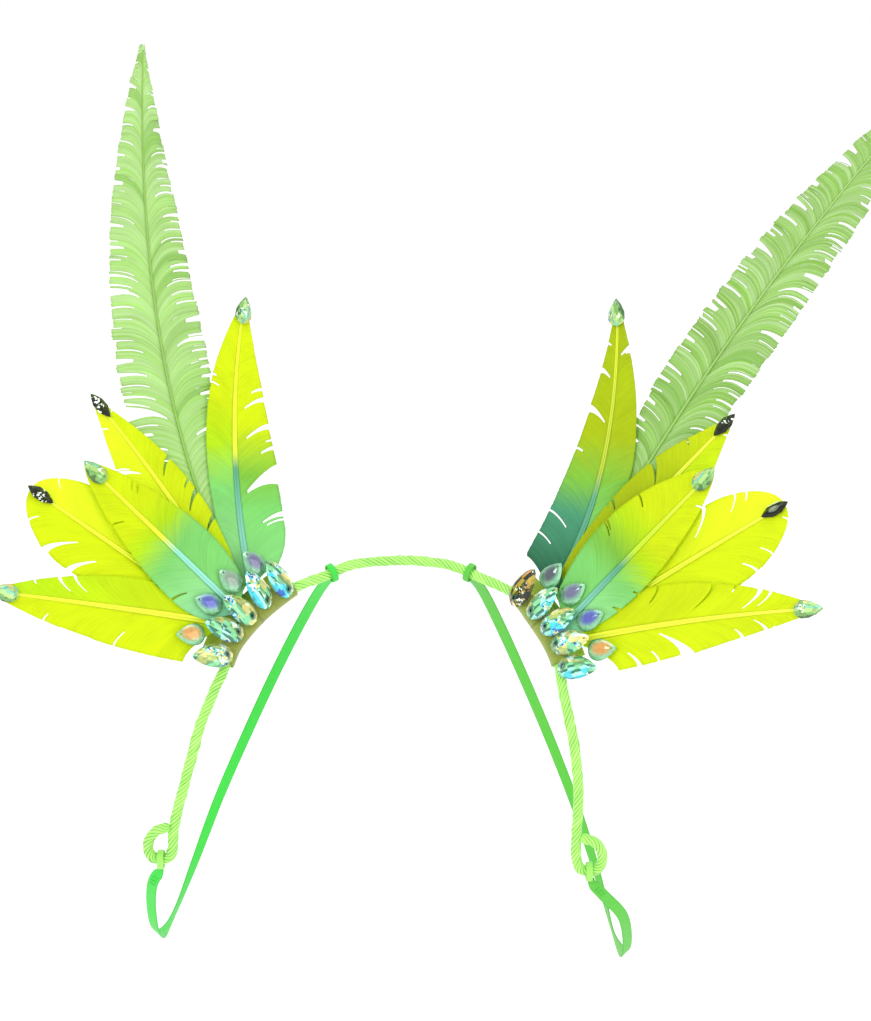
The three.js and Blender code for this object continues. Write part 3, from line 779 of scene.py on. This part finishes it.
def stitches(places, across, out, half_width, rows, name):
    """Short thread stitches lying across the webbing."""
    points, faces = [], []
    for place, sideways, outward in zip(places, across, out):
        for row in rows:
            middle = place + sideways * row * half_width + outward * (STRAP_THICK * 0.95)
            start = len(points)
            for end in (-1, 0, 1):
                for turn in range(6):
                    angle = turn * math.pi / 3
                    radius = 0.32 if end == 0 else 0.16
                    rise = outward * (radius * math.sin(angle) - 0.3 * abs(end))
                    forward = np.cross(sideways, outward) * radius * math.cos(angle)
                    points.append(middle + sideways * (end * 0.75) + rise + forward)
            faces += tube_faces(3, 6, start)
    return make_object(name, points, faces)


def strap(side_name, side):
    wire = wire_route(side)
    mirror = np.array([side["mirror"], 1, 1])
    x, y, z = side["loop"]["centre"]
    front = nearest(wire, mirror * (x, y, z - side["loop"]["radius"]))
    back = nearest(wire, mirror * BACK_EYE_NEAR)
    flat = catmull(mirrored(side["strap"], side), 14)
    ends = []
    for index, first in ((front, flat[0]), (back, flat[-1])):
        away = first - wire[index]
        ends.append(wire[index] + away / np.linalg.norm(away) * EYE_RADIUS)
    path = resampled(np.vstack([ends[0], flat, ends[1]]), 1.6)
    distance = walked(path)
    total = distance[-1]
    normal = body_normal(path * mirror, side) * mirror
    along = tangents(path)
    across = np.cross(normal, along)
    across /= np.linalg.norm(across, axis=1, keepdims=True)
    out = np.cross(along, across)
    from_end = np.minimum(distance, total - distance)
    width = NECK_WIDTH + (STRAP_WIDTH - NECK_WIDTH) * smoothstep(2, 7, from_end)
    thick = STRAP_THICK * (1.35 - 0.35 * smoothstep(3, 9, from_end))
    section = webbing_section()
    body = swept(path, across, out, width, thick, section)
    folded = np.exp(-((section[:, 0] - 0.15) / 0.12) ** 2) * (section[:, 1] > 0)
    body -= out[:, None, :] * folded[None, :, None] * 0.16
    rings = [body]
    for index, end in ((front, ends[0]), (back, ends[1])):
        rings.append(sewn_eye(wire[index], tangents(wire)[index], end - wire[index], section))
    points, faces = [], []
    across_lay, along_lay = [], []
    count = len(section)
    for number, ring in enumerate(rings):
        start = len(points)
        points.extend(ring.reshape(-1, 3))
        rows = len(ring)
        if number:
            faces += grid_faces(rows, count, closed=True, first=start)
            last = start + (rows - 1) * count
            for i in range(count):
                after = (i + 1) % count
                faces.append((last + i, last + after, start + after, start + i))
            lengths = np.linspace(0, 2 * math.pi * EYE_RADIUS, rows)
        else:
            faces += tube_faces(rows, count, start)
            lengths = distance
        across_lay.append(np.tile(section[:, 0] * STRAP_WIDTH / 2, rows))
        along_lay.append(np.repeat(lengths, count))
    piece = make_object(f"{side_name}_elastic_strap", points, faces)
    face_outward(piece)
    colours = np.tile(side["strap_green"], (len(points), 1))
    near_edge = smoothstep(0.8, 1.0, np.abs(np.tile(section[:, 0], len(points) // count)))
    colours = colours * (1 - 0.25 * near_edge)[:, None]
    eye_start = len(body) * count
    colours[eye_start:eye_start + len(rings[1]) * count] = EYE_GREEN
    tint_points(piece, colours)
    lay_points(piece, np.concatenate(across_lay), np.concatenate(along_lay))
    finish_piece(piece, MATERIALS["elastic"], f"{side_name}_strap", "elastic", f"{side_name}_strap")
    line = np.vstack([wire[front], path, wire[back]])
    float(walked(line)[-1] * MM)
    near_ends = [6, 8, 10, len(path) - 11, len(path) - 9, len(path) - 7]
    sewn = stitches(path[near_ends], across[near_ends], out[near_ends], 1.6, (-0.7, 0.7),
                    f"{side_name}_strap_stitches")
    finish_piece(sewn, MATERIALS["thread"], f"{side_name}_strap", "elastic")


# ---- the cord wound on the wire ----
def wound_cord(side_name, side):
    starts, ridge_width, ridge_height, columns = 8, 3.6, 0.7, 36
    route = wire_route(side)
    path = resampled(route, 0.42)
    up, beside = carried_frames(path)
    distance = walked(path)
    angle = np.linspace(0, 2 * math.pi, columns, endpoint=False)
    turn = distance[:, None] / ridge_width - starts * angle[None, :] / (2 * math.pi)
    within = 2 * (turn - np.floor(turn)) - 1
    ridge = np.sqrt(np.clip(1 - within ** 2, 0, 1))
    rng = np.random.default_rng(7 if side["mirror"] > 0 else 8)
    loose = rng.normal(0, 1, 400)
    strand = np.floor(turn).astype(int) % len(loose)
    slack = 0.16 * loose[strand]
    radius = WRAP_RADIUS - ridge_height + ridge_height * ridge + slack
    rounded = np.sqrt(np.clip(1 - np.clip(1 - (distance[-1] - distance) / 3.0, 0, 1) ** 2, 0, 1))
    radius = radius * np.maximum(rounded, 0.02)[:, None]
    across = up[:, None, :] * np.cos(angle)[None, :, None] + beside[:, None, :] * np.sin(angle)[None, :, None]
    points = path[:, None, :] + across * radius[:, :, None]
    piece = make_object(f"{side_name}_wound_cord", points, tube_faces(len(path), columns))
    face_outward(piece)
    # Painted shade and light: the colour runs from painted shade in the grooves between the turns to painted
    # light on their crowns.
    groove = srgb(58, 176, 30)
    painted_crown_light = srgb(186, 252, 118)
    strand_shade = 1 + 0.1 * loose[::-1][strand]
    colours = groove + (painted_crown_light - groove) * (ridge ** 1.7)[:, :, None]
    tint_points(piece, np.clip(colours * strand_shade[:, :, None], 0, 1))
    lay_points(piece, np.abs(within), turn * 0.35 + 5 * angle[None, :])
    near, far = (route[nearest(route, (side["mirror"] * x, 0, 0))] for x in (PIVOT_START, PIVOT_END))
    replaced = [f"{side_name}_wire_wrap"] + (["nape_wire_wrap"] if side["mirror"] > 0 else [])
    finish_piece(piece, MATERIALS["cord"], None, "wrap_cord", *replaced)
    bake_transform(piece)
    loose_fibres(side_name, side, path, up, beside, rng)


def loose_fibres(side_name, side, path, up, beside, rng):
    """Short frayed fibres standing off the wound cord."""
    points, faces = [], []
    first = int(len(path) * 0.42)
    along = tangents(path)
    for index in rng.integers(first, len(path) - 30, 90):
        angle = rng.uniform(0, 2 * math.pi)
        radial = up[index] * math.cos(angle) + beside[index] * math.sin(angle)
        lean = along[index] * rng.uniform(-1, 1) + np.cross(along[index], radial) * rng.uniform(-1, 1)
        length = rng.uniform(0.8, 2.6)
        start = len(points)
        for step in range(4):
            share = step / 3
            rise = radial * (WRAP_RADIUS - 0.3 + length * share * (1 - 0.4 * share))
            middle = path[index] + rise + lean * share ** 2 * length * 0.7
            radius = 0.09 * (1 - 0.7 * share)
            for corner in range(3):
                turn = corner * 2 * math.pi / 3
                points.append(middle + along[index] * radius * math.cos(turn)
                              + np.cross(radial, along[index]) * radius * math.sin(turn))
        faces += tube_faces(4, 3, start)
    piece = make_object(f"{side_name}_cord_fibres", points, faces)
    face_outward(piece)
    tint_points(piece, np.tile(srgb(200, 250, 130), (len(points), 1)))
    lay_points(piece, np.zeros(len(points)), np.arange(len(points)) * 0.1)
    finish_piece(piece, MATERIALS["cord"], f"{side_name}_wing", "wrap_cord")


# ---- feathers ----
def quill_at(feather, t):
    base, bend, tip = (np.array(feather[key], float) for key in ("base", "bend", "tip"))
    t = np.asarray(t, float)[..., None]
    place = base * (1 - t) ** 2 + bend * 2 * t * (1 - t) + tip * t ** 2
    along = (bend - base) * 2 * (1 - t) + (tip - bend) * 2 * t
    along = along / np.linalg.norm(along, axis=-1, keepdims=True)
    outward = np.stack([along[..., 1], -along[..., 0]], axis=-1)
    return place, along, outward


def quill_half(feather, t):
    base = PLUME_QUILL_HALF if feather["name"] == "plume" else QUILL_HALF
    return base * (1 - QUILL_TAPER * t)


def fullness(t, full, blunt):
    rising = np.sin(math.pi / 2 * np.clip((t - VANE_START) / (full - VANE_START), 0, 1)) ** VANE_SWELL
    falling = np.cos(math.pi / 2 * np.clip((t - full) / (1 - full), 0, 1)) ** blunt
    return np.where(t < full, rising, falling)


def blended_tints(stops, t):
    places = [place for place, _ in stops]
    channels = [[colour[channel] for _, colour in stops] for channel in range(3)]
    return np.stack([np.interp(t, places, channel) for channel in channels], axis=-1)


def vane_edge(feather, half, root, length):
    """Where the barb from each root meets the outline: along the feather, and across from the quill."""
    grid = np.linspace(0, 1, 900)
    part = feather[half]
    half_width = 0.6 * quill_half(feather, grid) + 0.5 + part["width"] * fullness(
        grid, part["full"], feather["blunt"])
    near, far = part["lean"]
    lean = near + (far - near) * root
    past_edge = grid[None, :] - root[:, None] - lean[:, None] * half_width[None, :] / length
    last = np.maximum((past_edge < 0).sum(axis=1) - 1, 0)
    return np.maximum(grid[last], root), half_width[last]


def clumped(rng, rows, style):
    """Barbs gathered in clumps: each row's clump, and where the clumps start."""
    starts = [0]
    while starts[-1] < rows:
        starts.append(starts[-1] + int(rng.integers(*style["clump"])))
    starts = np.array(starts)
    return np.searchsorted(starts, np.arange(rows), side="right") - 1, starts


def vane_half(feather, half, layer, rng, style):
    """One half of the vane: rows of barbs that leave the quill steeply and bend outward, parted in places."""
    rows, columns = style["rows"], style["columns"]
    length = walked(quill_at(feather, np.linspace(0, 1, 60))[0])[-1]
    root = np.linspace(0.012, 0.992, rows)
    edge, reach = vane_edge(feather, half, root, length)
    clump, starts = clumped(rng, rows, style)
    count = len(starts)
    reach = reach * (1 - np.clip(np.abs(rng.normal(0, style["stepped"], count))[clump], 0, 0.22))
    reach = reach * (1 + style["ragged"] * np.clip(rng.normal(0, 1, rows), -2, 1))
    share = np.linspace(0, 1, columns) ** 0.9
    start = 0.5 * quill_half(feather, root)
    across = start[:, None] + (reach - start)[:, None] * share[None, :]
    forward = (edge - root)[:, None] * length * (1 - (1 - share) ** style["hook"])[None, :]
    settled = smoothstep(0, 0.2, root)[:, None]
    height = -style["camber"] * settled * share[None, :] ** 2
    open_cells = np.zeros((rows, columns), bool)

    if style["gap"]:
        is_wide = rng.random(count) < style["wide"]
        wide_gap = rng.uniform(2.0, 4.0, count)
        gap = np.where(is_wide, wide_gap, rng.uniform(*style["gap"], count))
        begin = rng.uniform(0.3, 0.8, count)
        own_roots = [root[clump == number] for number in range(count)]
        middle = np.array([own.mean() if own.size else 0 for own in own_roots])
        size = np.bincount(clump, minlength=count) * length / rows
        squeeze = np.clip(gap / np.maximum(size, 0.5), 0, 0.6)
        ramp = np.clip((share[None, :] - begin[clump][:, None]) / (1 - begin[clump][:, None]), 0, 1)
        forward += (middle[clump] - root)[:, None] * length * squeeze[clump][:, None] * ramp
        forward += rng.normal(0, 0.9, count)[clump][:, None] * share[None, :] ** 2
        height = height + rng.normal(0, 0.25, count)[clump][:, None] * share[None, :] * settled
        for number in range(1, count - 1):
            open_cells[starts[number] - 1, share[:-1].searchsorted(begin[number]):] = True

    splits = list(feather[half]["splits"])
    for _ in range(style["splits"]):
        splits.append((rng.uniform(0.12, 0.9), rng.uniform(0.5, 0.85), rng.uniform(0.3, 1.0)))
    row_numbers = np.arange(rows)
    for place, begin, gap in splits:
        row = int(np.interp(place, root, row_numbers))
        spread = max(1.6 * gap * rows / length, 2)
        ramp = np.clip((share - begin) / (1 - begin), 0, 1) ** 1.2
        above = np.where(row_numbers > row, np.exp(-(row_numbers - row - 1) / spread), 0)
        below = np.where(row_numbers <= row, np.exp(-(row - row_numbers) / spread), 0)
        forward += (above - below)[:, None] * ramp[None, :] * gap / 2
        height = height + (above * rng.uniform(-0.3, 0.3) + below * rng.uniform(-0.3, 0.3))[:, None] * ramp
        open_cells[row, share[:-1].searchsorted(begin):] = True

    t = np.clip(root[:, None] + forward / length, 0, 1.02)
    place, _, outward = quill_at(feather, t)
    sign = 1 if half == "outer" else -1
    flat = place + outward * (sign * across)[..., None]
    wave = 0.35 * np.sin(t * 21 + sign) * share[None, :] ** 2
    points = np.concatenate([flat, (layer + height + wave)[..., None]], axis=-1)
    drift = rng.normal(0, 0.012, rows)[:, None] + 0.02 * rng.normal(0, 1)
    colours = blended_tints(feather[half]["tints"], np.clip(t + drift, 0, 1))
    shade = rng.normal(1, style["streak"], rows) * rng.normal(1, style["streak"], count)[clump]
    colours = colours * shade[:, None, None]
    if style["frosted"]:
        pale = np.clip(rng.normal(0.34, 0.26, rows), 0, 0.85)[:, None, None]
        deep = (rng.random(count) < 0.12)[clump][:, None, None] * 0.4
        colours = colours + (FROSTED_LIME - colours) * pale
        colours = colours + (GRASS * 0.8 - colours) * deep
    lay = np.broadcast_to(share[None, :], t.shape), np.broadcast_to((root * length)[:, None], t.shape)
    return points, np.clip(colours, 0, 1), lay, open_cells


VANE_STYLE = dict(rows=170, columns=12, hook=1.6, ragged=0.004, stepped=0.008, clump=(14, 40), gap=None,
                  camber=0.5, splits=2, streak=0.015, frosted=False)
PLUME_STYLE = dict(rows=430, columns=14, hook=3.2, ragged=0.012, stepped=0.035, clump=(2, 12), gap=(0.1, 0.5),
                   wide=0.035, camber=3.5, splits=0, streak=0.045, frosted=True)


def vane(side_name, side, feather, layer, rng):
    is_plume = feather["name"] == "plume"
    style = PLUME_STYLE if is_plume else VANE_STYLE
    points, colours, across, along, faces = [], [], [], [], []
    for half in ("outer", "inner"):
        grid, tint, lay, open_cells = vane_half(feather, half, layer, rng, style)
        first = sum(len(block) for block in points)
        points.append(grid.reshape(-1, 3))
        colours.append(tint.reshape(-1, 3))
        across.append(lay[0].ravel())
        along.append(lay[1].ravel() + (500 if half == "inner" else 0))
        faces += grid_faces(grid.shape[0], grid.shape[1], open_cells=open_cells, first=first)
    world = fan_to_world(side, curled(np.vstack(points)))
    piece = make_object(f"{side_name}_{feather['name']}_vane", world, faces)
    tint_points(piece, np.vstack(colours))
    lay_points(piece, np.concatenate(across), np.concatenate(along))
    solid = piece.modifiers.new("thickness", "SOLIDIFY")
    solid.thickness = 0.3 * MM
    solid.offset = 0
    keep_modifiers(piece)
    face_outward(piece)
    finish_piece(piece, MATERIALS["plume" if is_plume else "vane"], f"{side_name}_wing",
                 "plume" if is_plume else "feather", f"{side_name}_{feather['name']}")


def quill(side_name, side, feather, layer):
    """The quill: a tapering shaft with a groove down its face, with painted shade in the groove and along its
    edges.
    """
    t = np.linspace(0, 0.985, 64)
    turn = np.linspace(0, 2 * math.pi, 22, endpoint=False)
    place, _, outward = quill_at(feather, t)
    half = quill_half(feather, t)
    thick = 1.05 * (1 - 0.6 * t)
    side_share = np.cos(turn)
    rise = np.sign(np.sin(turn)) * np.abs(np.sin(turn)) ** 0.8
    groove = np.where(rise > 0, 0.3 * np.exp(-(side_share / 0.28) ** 2), 0)
    flat = place[:, None, :] + outward[:, None, :] * (half[:, None] * side_share[None, :])[..., None]
    height = layer + thick[:, None] * (rise - groove)[None, :]
    points = np.concatenate([flat, height[..., None]], axis=-1)
    piece = make_object(f"{side_name}_{feather['name']}_quill", fan_to_world(side, curled(points)),
                        tube_faces(len(t), len(turn)))
    face_outward(piece)
    colours = blended_tints(feather["quill_tints"], t)[:, None, :]
    # Painted shade, darkening the colour along the shaft's edges and in its groove.
    painted_edge_shade = 0.55 * smoothstep(0.7, 0.97, np.abs(side_share))
    painted_groove_shade = 0.3 * np.exp(-((side_share - 0.1) / 0.16) ** 2)
    colours = colours * (1 - painted_edge_shade - painted_groove_shade)[None, :, None]
    tint_points(piece, colours)
    lay_points(piece, np.tile(side_share, len(t)), np.repeat(t * 200, len(turn)))
    finish_piece(piece, MATERIALS["quill"], f"{side_name}_wing",
                 "plume" if feather["name"] == "plume" else "feather")


# ---- stones ----
def drop_outline(spec, count):
    turn = 2 * math.pi * np.arange(count) / count
    swell = 1 - spec["point"] + spec["point"] * np.abs(np.sin(turn / 2)) / WIDEST_DROP
    return np.column_stack([spec["width"] / 2 * np.sin(turn) * swell, spec["length"] / 2 * np.cos(turn)])


def navette_outline(spec, count):
    turn = 2 * math.pi * np.arange(count) / count
    along = np.cos(turn)
    belly = (1 - np.abs(along) ** 1.9) * np.sign(np.sin(turn))
    return np.column_stack([spec["width"] / 2 * belly, spec["length"] / 2 * along])


def stone_rings(outline, levels):
    """Rings of a stone from (height, scale, half step) levels. A half step turns a ring by half a facet."""
    rings = []
    for height, scale, half_step in levels:
        ring = (outline + np.roll(outline, -1, axis=0)) / 2 if half_step else outline
        rings.append(np.column_stack([ring * scale, np.full(len(outline), height)]))
    return rings


def faceted(rings):
    count = len(rings[0])
    points = np.vstack(rings)
    faces = []
    for level in range(len(rings) - 1):
        low, high = level * count, (level + 1) * count
        for i in range(count):
            after = (i + 1) % count
            if level < 2:
                faces.append((low + i, low + after, high + after, high + i))
            elif level % 2 == 0:
                faces.append((low + i, low + after, high + i))
                faces.append((low + after, high + after, high + i))
            else:
                faces.append((low + i, high + after, high + i))
                faces.append((low + i, low + after, high + after))
    faces.append(tuple(range(count - 1, -1, -1)))
    faces.append(tuple(range((len(rings) - 1) * count, len(rings) * count)))
    return points, faces


def cut_holes(piece, holes):
    for x, y, radius in holes:
        turn = np.linspace(0, 2 * math.pi, 14, endpoint=False)
        ring = np.column_stack([x + radius * np.cos(turn), y + radius * np.sin(turn)])
        rings = [np.column_stack([ring, np.full(14, height)]) for height in (-2, 8)]
        cutter = make_object("hole", np.vstack(rings), tube_faces(2, 14))
        face_outward(cutter)
        cut = piece.modifiers.new("hole", "BOOLEAN")
        cut.operation = "DIFFERENCE"
        cut.solver = "EXACT"
        cut.object = cutter
        keep_modifiers(piece)
        bpy.data.objects.remove(cutter)


def crystal_template(name, spec, outline, count):
    high = spec["height"]
    levels = ((0, 0.9, False), (0.35, 1.0, False), (0.9, 1.0, False),
              (0.56 * high, 0.86, True), (0.86 * high, 0.66, False), (high, 0.42, True))
    points, faces = faceted(stone_rings(outline(spec, count), levels))
    piece = make_object(name, points, faces, smooth=False)
    face_outward(piece)
    cut_holes(piece, spec["holes"])
    return piece


def dome_template(name, spec):
    flat = drop_outline(spec, 32)
    high, rim = spec["height"], 0.8
    levels = [(0, 0.94, False), (0.25, 1.0, False), (rim, 1.0, False), (rim + 0.12, 0.9, False)]
    for scale in (0.84, 0.7, 0.54, 0.36, 0.18):
        levels.append((rim + 0.1 + (high - rim - 0.1) * (1 - scale ** 2) ** 0.7, scale, False))
    rings = stone_rings(flat, levels)
    count = len(flat)
    faces = tube_faces(len(rings), count)
    piece = make_object(name, np.vstack(rings), faces)
    face_outward(piece)
    cut_holes(piece, spec["holes"])
    return piece


TEMPLATES = {
    "large": (crystal_template("large_drop", LARGE_DROP, drop_outline, 14), LARGE_DROP),
    "tip": (crystal_template("tip_drop", TIP_DROP, drop_outline, 12), TIP_DROP),
    "navette": (crystal_template("tip_navette", TIP_NAVETTE, navette_outline, 10), TIP_NAVETTE),
    "small": (dome_template("small_drop", SMALL_DROP), SMALL_DROP),
}


def turned(points, turn_out, roll=0.0, slope=0.0):
    """Points rolled about the stone's length, lifted at its point, then turned outward in the fan's plane."""
    cos_roll, sin_roll = math.cos(roll), math.sin(roll)
    rolled = points @ np.array([[cos_roll, 0, -sin_roll], [0, 1, 0], [sin_roll, 0, cos_roll]])
    cos_slope, sin_slope = math.cos(slope), math.sin(slope)
    sloped = rolled @ np.array([[1, 0, 0], [0, cos_slope, sin_slope], [0, -sin_slope, cos_slope]])
    cos_out, sin_out = math.cos(turn_out), math.sin(turn_out)
    return sloped @ np.array([[cos_out, -sin_out, 0], [sin_out, cos_out, 0], [0, 0, 1]])


def stone(name, kind, side_name, side, place, turn_out, roll, slope, material, slot, rng, tint_of, node,
          first_lead=0.0):
    template, spec = TEMPLATES[kind]
    piece = template.copy()
    piece.data = template.data.copy()
    piece.name = name
    piece.data.name = name
    bpy.context.scene.collection.objects.link(piece)
    local = np.empty(len(piece.data.vertices) * 3)
    piece.data.vertices.foreach_get("co", local)
    local = local.reshape(-1, 3) / MM
    world = fan_to_world(side, turned(local, turn_out, roll, slope) + place)
    piece.data.vertices.foreach_set("co", (world * MM).ravel())
    piece.data.update()
    face_outward(piece)
    offset = rng.uniform(0, 300, 2)
    lay_points(piece, local[:, 0] + offset[0], local[:, 1] + offset[1])
    lay_points(piece, local[:, 0], local[:, 1], "spot")
    corner_tints(piece, local, spec, rng, tint_of, first_lead)
    finish_piece(piece, material, f"{side_name}_wing", slot, node)


def corner_tints(piece, local, spec, rng, tint_of, first_lead):
    """Colours each facet's corners. The alpha runs across the stone, from first_lead up."""
    layer = piece.data.color_attributes.new("tint", "FLOAT_COLOR", "CORNER")
    values = np.ones((len(piece.data.loops), 4), np.float32)
    lead = rng.uniform(-0.6, 0.6) + math.pi
    for face in piece.data.polygons:
        shade = tint_of(rng)
        for corner in face.loop_indices:
            where = local[piece.data.loops[corner].vertex_index]
            x, y = where[0] / (spec["width"] / 2), where[1] / (spec["length"] / 2)
            values[corner, :3] = shade(x, y)
            across = np.clip(0.5 + 0.5 * (x * math.cos(lead) + y * math.sin(lead)), 0, 1)
            values[corner, 3] = first_lead + (1 - first_lead) * across
    layer.data.foreach_set("color", values.ravel())


def facet_tint(rng):
    level = np.clip(rng.normal(1.0, 0.16), 0.6, 1.25)
    cast = level * np.array([rng.uniform(0.85, 1.05), 1.0, rng.uniform(0.85, 1.08)])
    return lambda x, y: cast * (0.45 if math.hypot(x, y * 0.86) > 0.97 else 1.0)


def dome_tint(centre):
    rim = srgb(104, 184, 120)
    inner = srgb(128, 198, 148)

    def of_face(rng):
        def shade(x, y):
            out = min(1.0, math.hypot(x, y * 0.9))
            if out > 0.95:
                return rim * 0.3
            if out > 0.86:
                return rim
            return centre + (inner - centre) * smoothstep(0.3, 0.85, out + 0.2 * x)
        return shade
    return of_face


def stones(side_name, side, rng):
    for number, (x, y, degrees) in enumerate(side["large_stones"], 1):
        height = LARGE_BACK + LARGE_DROP["width"] / 2 * math.sin(SHINGLE)
        material = MATERIALS["gold" if side_name == "left" and number == 1 else "crystal"]
        stone(f"{side_name}_large_crystal_{number}", "large", side_name, side, (x, y, height),
              math.radians(degrees), -SHINGLE, LARGE_SLOPE, material, "large_stone", rng, facet_tint,
              f"{side_name}_large_stone_{number}", side["large_leads"][number - 1])
    for number, (x, y, degrees) in enumerate(side["small_stones"], 1):
        stone(f"{side_name}_small_drop_{number}", "small", side_name, side, (x, y, SMALL_BACK),
              math.radians(degrees), 0, 0, MATERIALS["dome"], "small_stone", rng,
              dome_tint(side["dome_centres"][number - 1]), f"{side_name}_small_stone_{number}")
    for index, feather in enumerate(side["feathers"]):
        if feather["stone"] is None:
            continue
        layer = FIRST_LAYER + index * LAYER_STEP
        place, along, _ = quill_at(feather, 1.0)
        place = place - along * TIP_STONE_INSET
        fall = CURL * place.dot(place)
        slope = math.atan(2 * CURL * place.dot(along))
        is_navette = feather["stone"] is TIP_NAVETTE
        number = feather["name"][-1]
        stone(f"{side_name}_tip_crystal_{number}", "navette" if is_navette else "tip", side_name, side,
              (place[0], place[1], layer + TIP_STONE_LIFT - fall), math.atan2(along[0], along[1]), 0, -slope,
              MATERIALS["olive" if is_navette else "tip"], "olive_stone" if is_navette else "tip_stone", rng,
              facet_tint, f"{side_name}_tip_stone_{number}")


# ---- felt ----
def felt_section():
    """The folded felt's middle line from its back edge: (toward the feathers, along the fan's normal)."""
    middle = (FELT_INNER + FELT_OUTER) / 2
    back = [(reach, FELT_BACK_MIDDLE) for reach in np.linspace(FELT_REACH, 11, 7)]
    knee = [(8.5, FELT_BACK_MIDDLE + 0.5), (6.2, -7.2), (4.4, -5.6)]
    fold = []
    for degrees in range(-70, -306, -12):
        turn = math.radians(degrees)
        fold.append((middle * math.cos(turn), middle * math.sin(turn)))
    flap = [(4.9, 3.7), (7.5, 3.5), (10, 3.4)]
    return np.array(back + knee + fold + flap)


def folded_felt(side_name, side, rng):
    route = wire_route(side)
    ends = [nearest(route, fan_to_world(side, [(*side["pad_line"][end], 0)])[0]) for end in (0, -1)]
    path = world_to_fan(side, resampled(route[ends[0]:ends[1] + 1], 0.8))
    path = path[walked(path) >= FELT_END_TRIM]
    along = tangents(path)
    toward = np.column_stack([-along[:, 1], along[:, 0], np.zeros(len(path))])
    toward /= np.linalg.norm(toward, axis=1, keepdims=True)
    middle = felt_section()
    facing = np.gradient(middle, axis=0)
    facing /= np.linalg.norm(facing, axis=1, keepdims=True)
    away = np.column_stack([facing[:, 1], -facing[:, 0]])
    half = (FELT_OUTER - FELT_INNER) / 2
    closed = np.vstack([middle + away * half, (middle - away * half)[::-1]])
    rows, count = len(path), len(closed)
    share = np.linspace(0, 1, rows)
    seam = 0.3 * (share > 0.46)
    wobble = np.interp(share, np.linspace(0, 1, 13), rng.normal(0, 0.22, 13))
    outer_side = np.concatenate([np.ones(len(middle)), np.zeros(len(middle))])
    grown = (seam + wobble)[:, None] * outer_side[None, :]
    stretch_out = 1 + grown / np.maximum(np.linalg.norm(closed, axis=1), 1)[None, :]
    section = closed[None, :, :] * stretch_out[:, :, None]
    points = path[:, None, :] + toward[:, None, :] * section[:, :, :1]
    points[..., 2] += section[:, :, 1]
    piece = make_object(f"{side_name}_folded_felt", fan_to_world(side, points), tube_faces(rows, count))
    face_outward(piece)
    olive = side["felt_olive"]
    # Painted shade: the colour turns to a darker olive on the front of the fold and the flap, where parts lie
    # over the felt, and in a band at the seam's step.
    shade = srgb(118, 128, 30)
    painted_tucked_shade = smoothstep(1.0, 3.6, closed[:, 1])[None, :, None] * np.ones((rows, 1, 1))
    painted_seam_shade = np.exp(-((share - 0.46) / 0.012) ** 2)[:, None, None]
    colours = olive + (shade - olive) * np.clip(0.75 * painted_tucked_shade + 0.5 * painted_seam_shade, 0, 1)
    tint_points(piece, colours)
    lay_points(piece, np.tile(np.arange(count), rows), np.repeat(share * 80, count))
    finish_piece(piece, MATERIALS["felt"], f"{side_name}_wing", "felt", f"{side_name}_felt")
    strip = float(walked(np.column_stack([middle, np.zeros(len(middle))]))[-1])
    run = float(walked(path)[-1])


# ---- floor ----
def add_floor():
    height = CAD_BOX[0][2] / MM - 30
    reach = 20000
    piece = make_object("floor", [(-reach, -reach, height), (reach, -reach, height), (reach, reach, height),
                                  (-reach, reach, height)], [(0, 1, 2, 3)])
    piece.data.materials.append(MATERIALS["floor"])


# ---- the whole object ----
add_camera()
for side_name, side in SIDES.items():
    strap(side_name, side)
add_studio()
add_floor()
for number, (side_name, side) in enumerate(SIDES.items()):
    rng = np.random.default_rng(100 + number)
    wound_cord(side_name, side)
    for index, feather in enumerate(side["feathers"]):
        layer = FIRST_LAYER + index * LAYER_STEP
        vane(side_name, side, feather, layer, rng)
        quill(side_name, side, feather, layer)
    stones(side_name, side, rng)
    folded_felt(side_name, side, rng)
for template, _ in TEMPLATES.values():
    bpy.data.objects.remove(template)
for node in ("nape_wire", "right_wire", "left_wire"):
    core = bpy.data.objects[node]
    core.data.materials.clear()
    core.data.materials.append(MATERIALS["steel"])
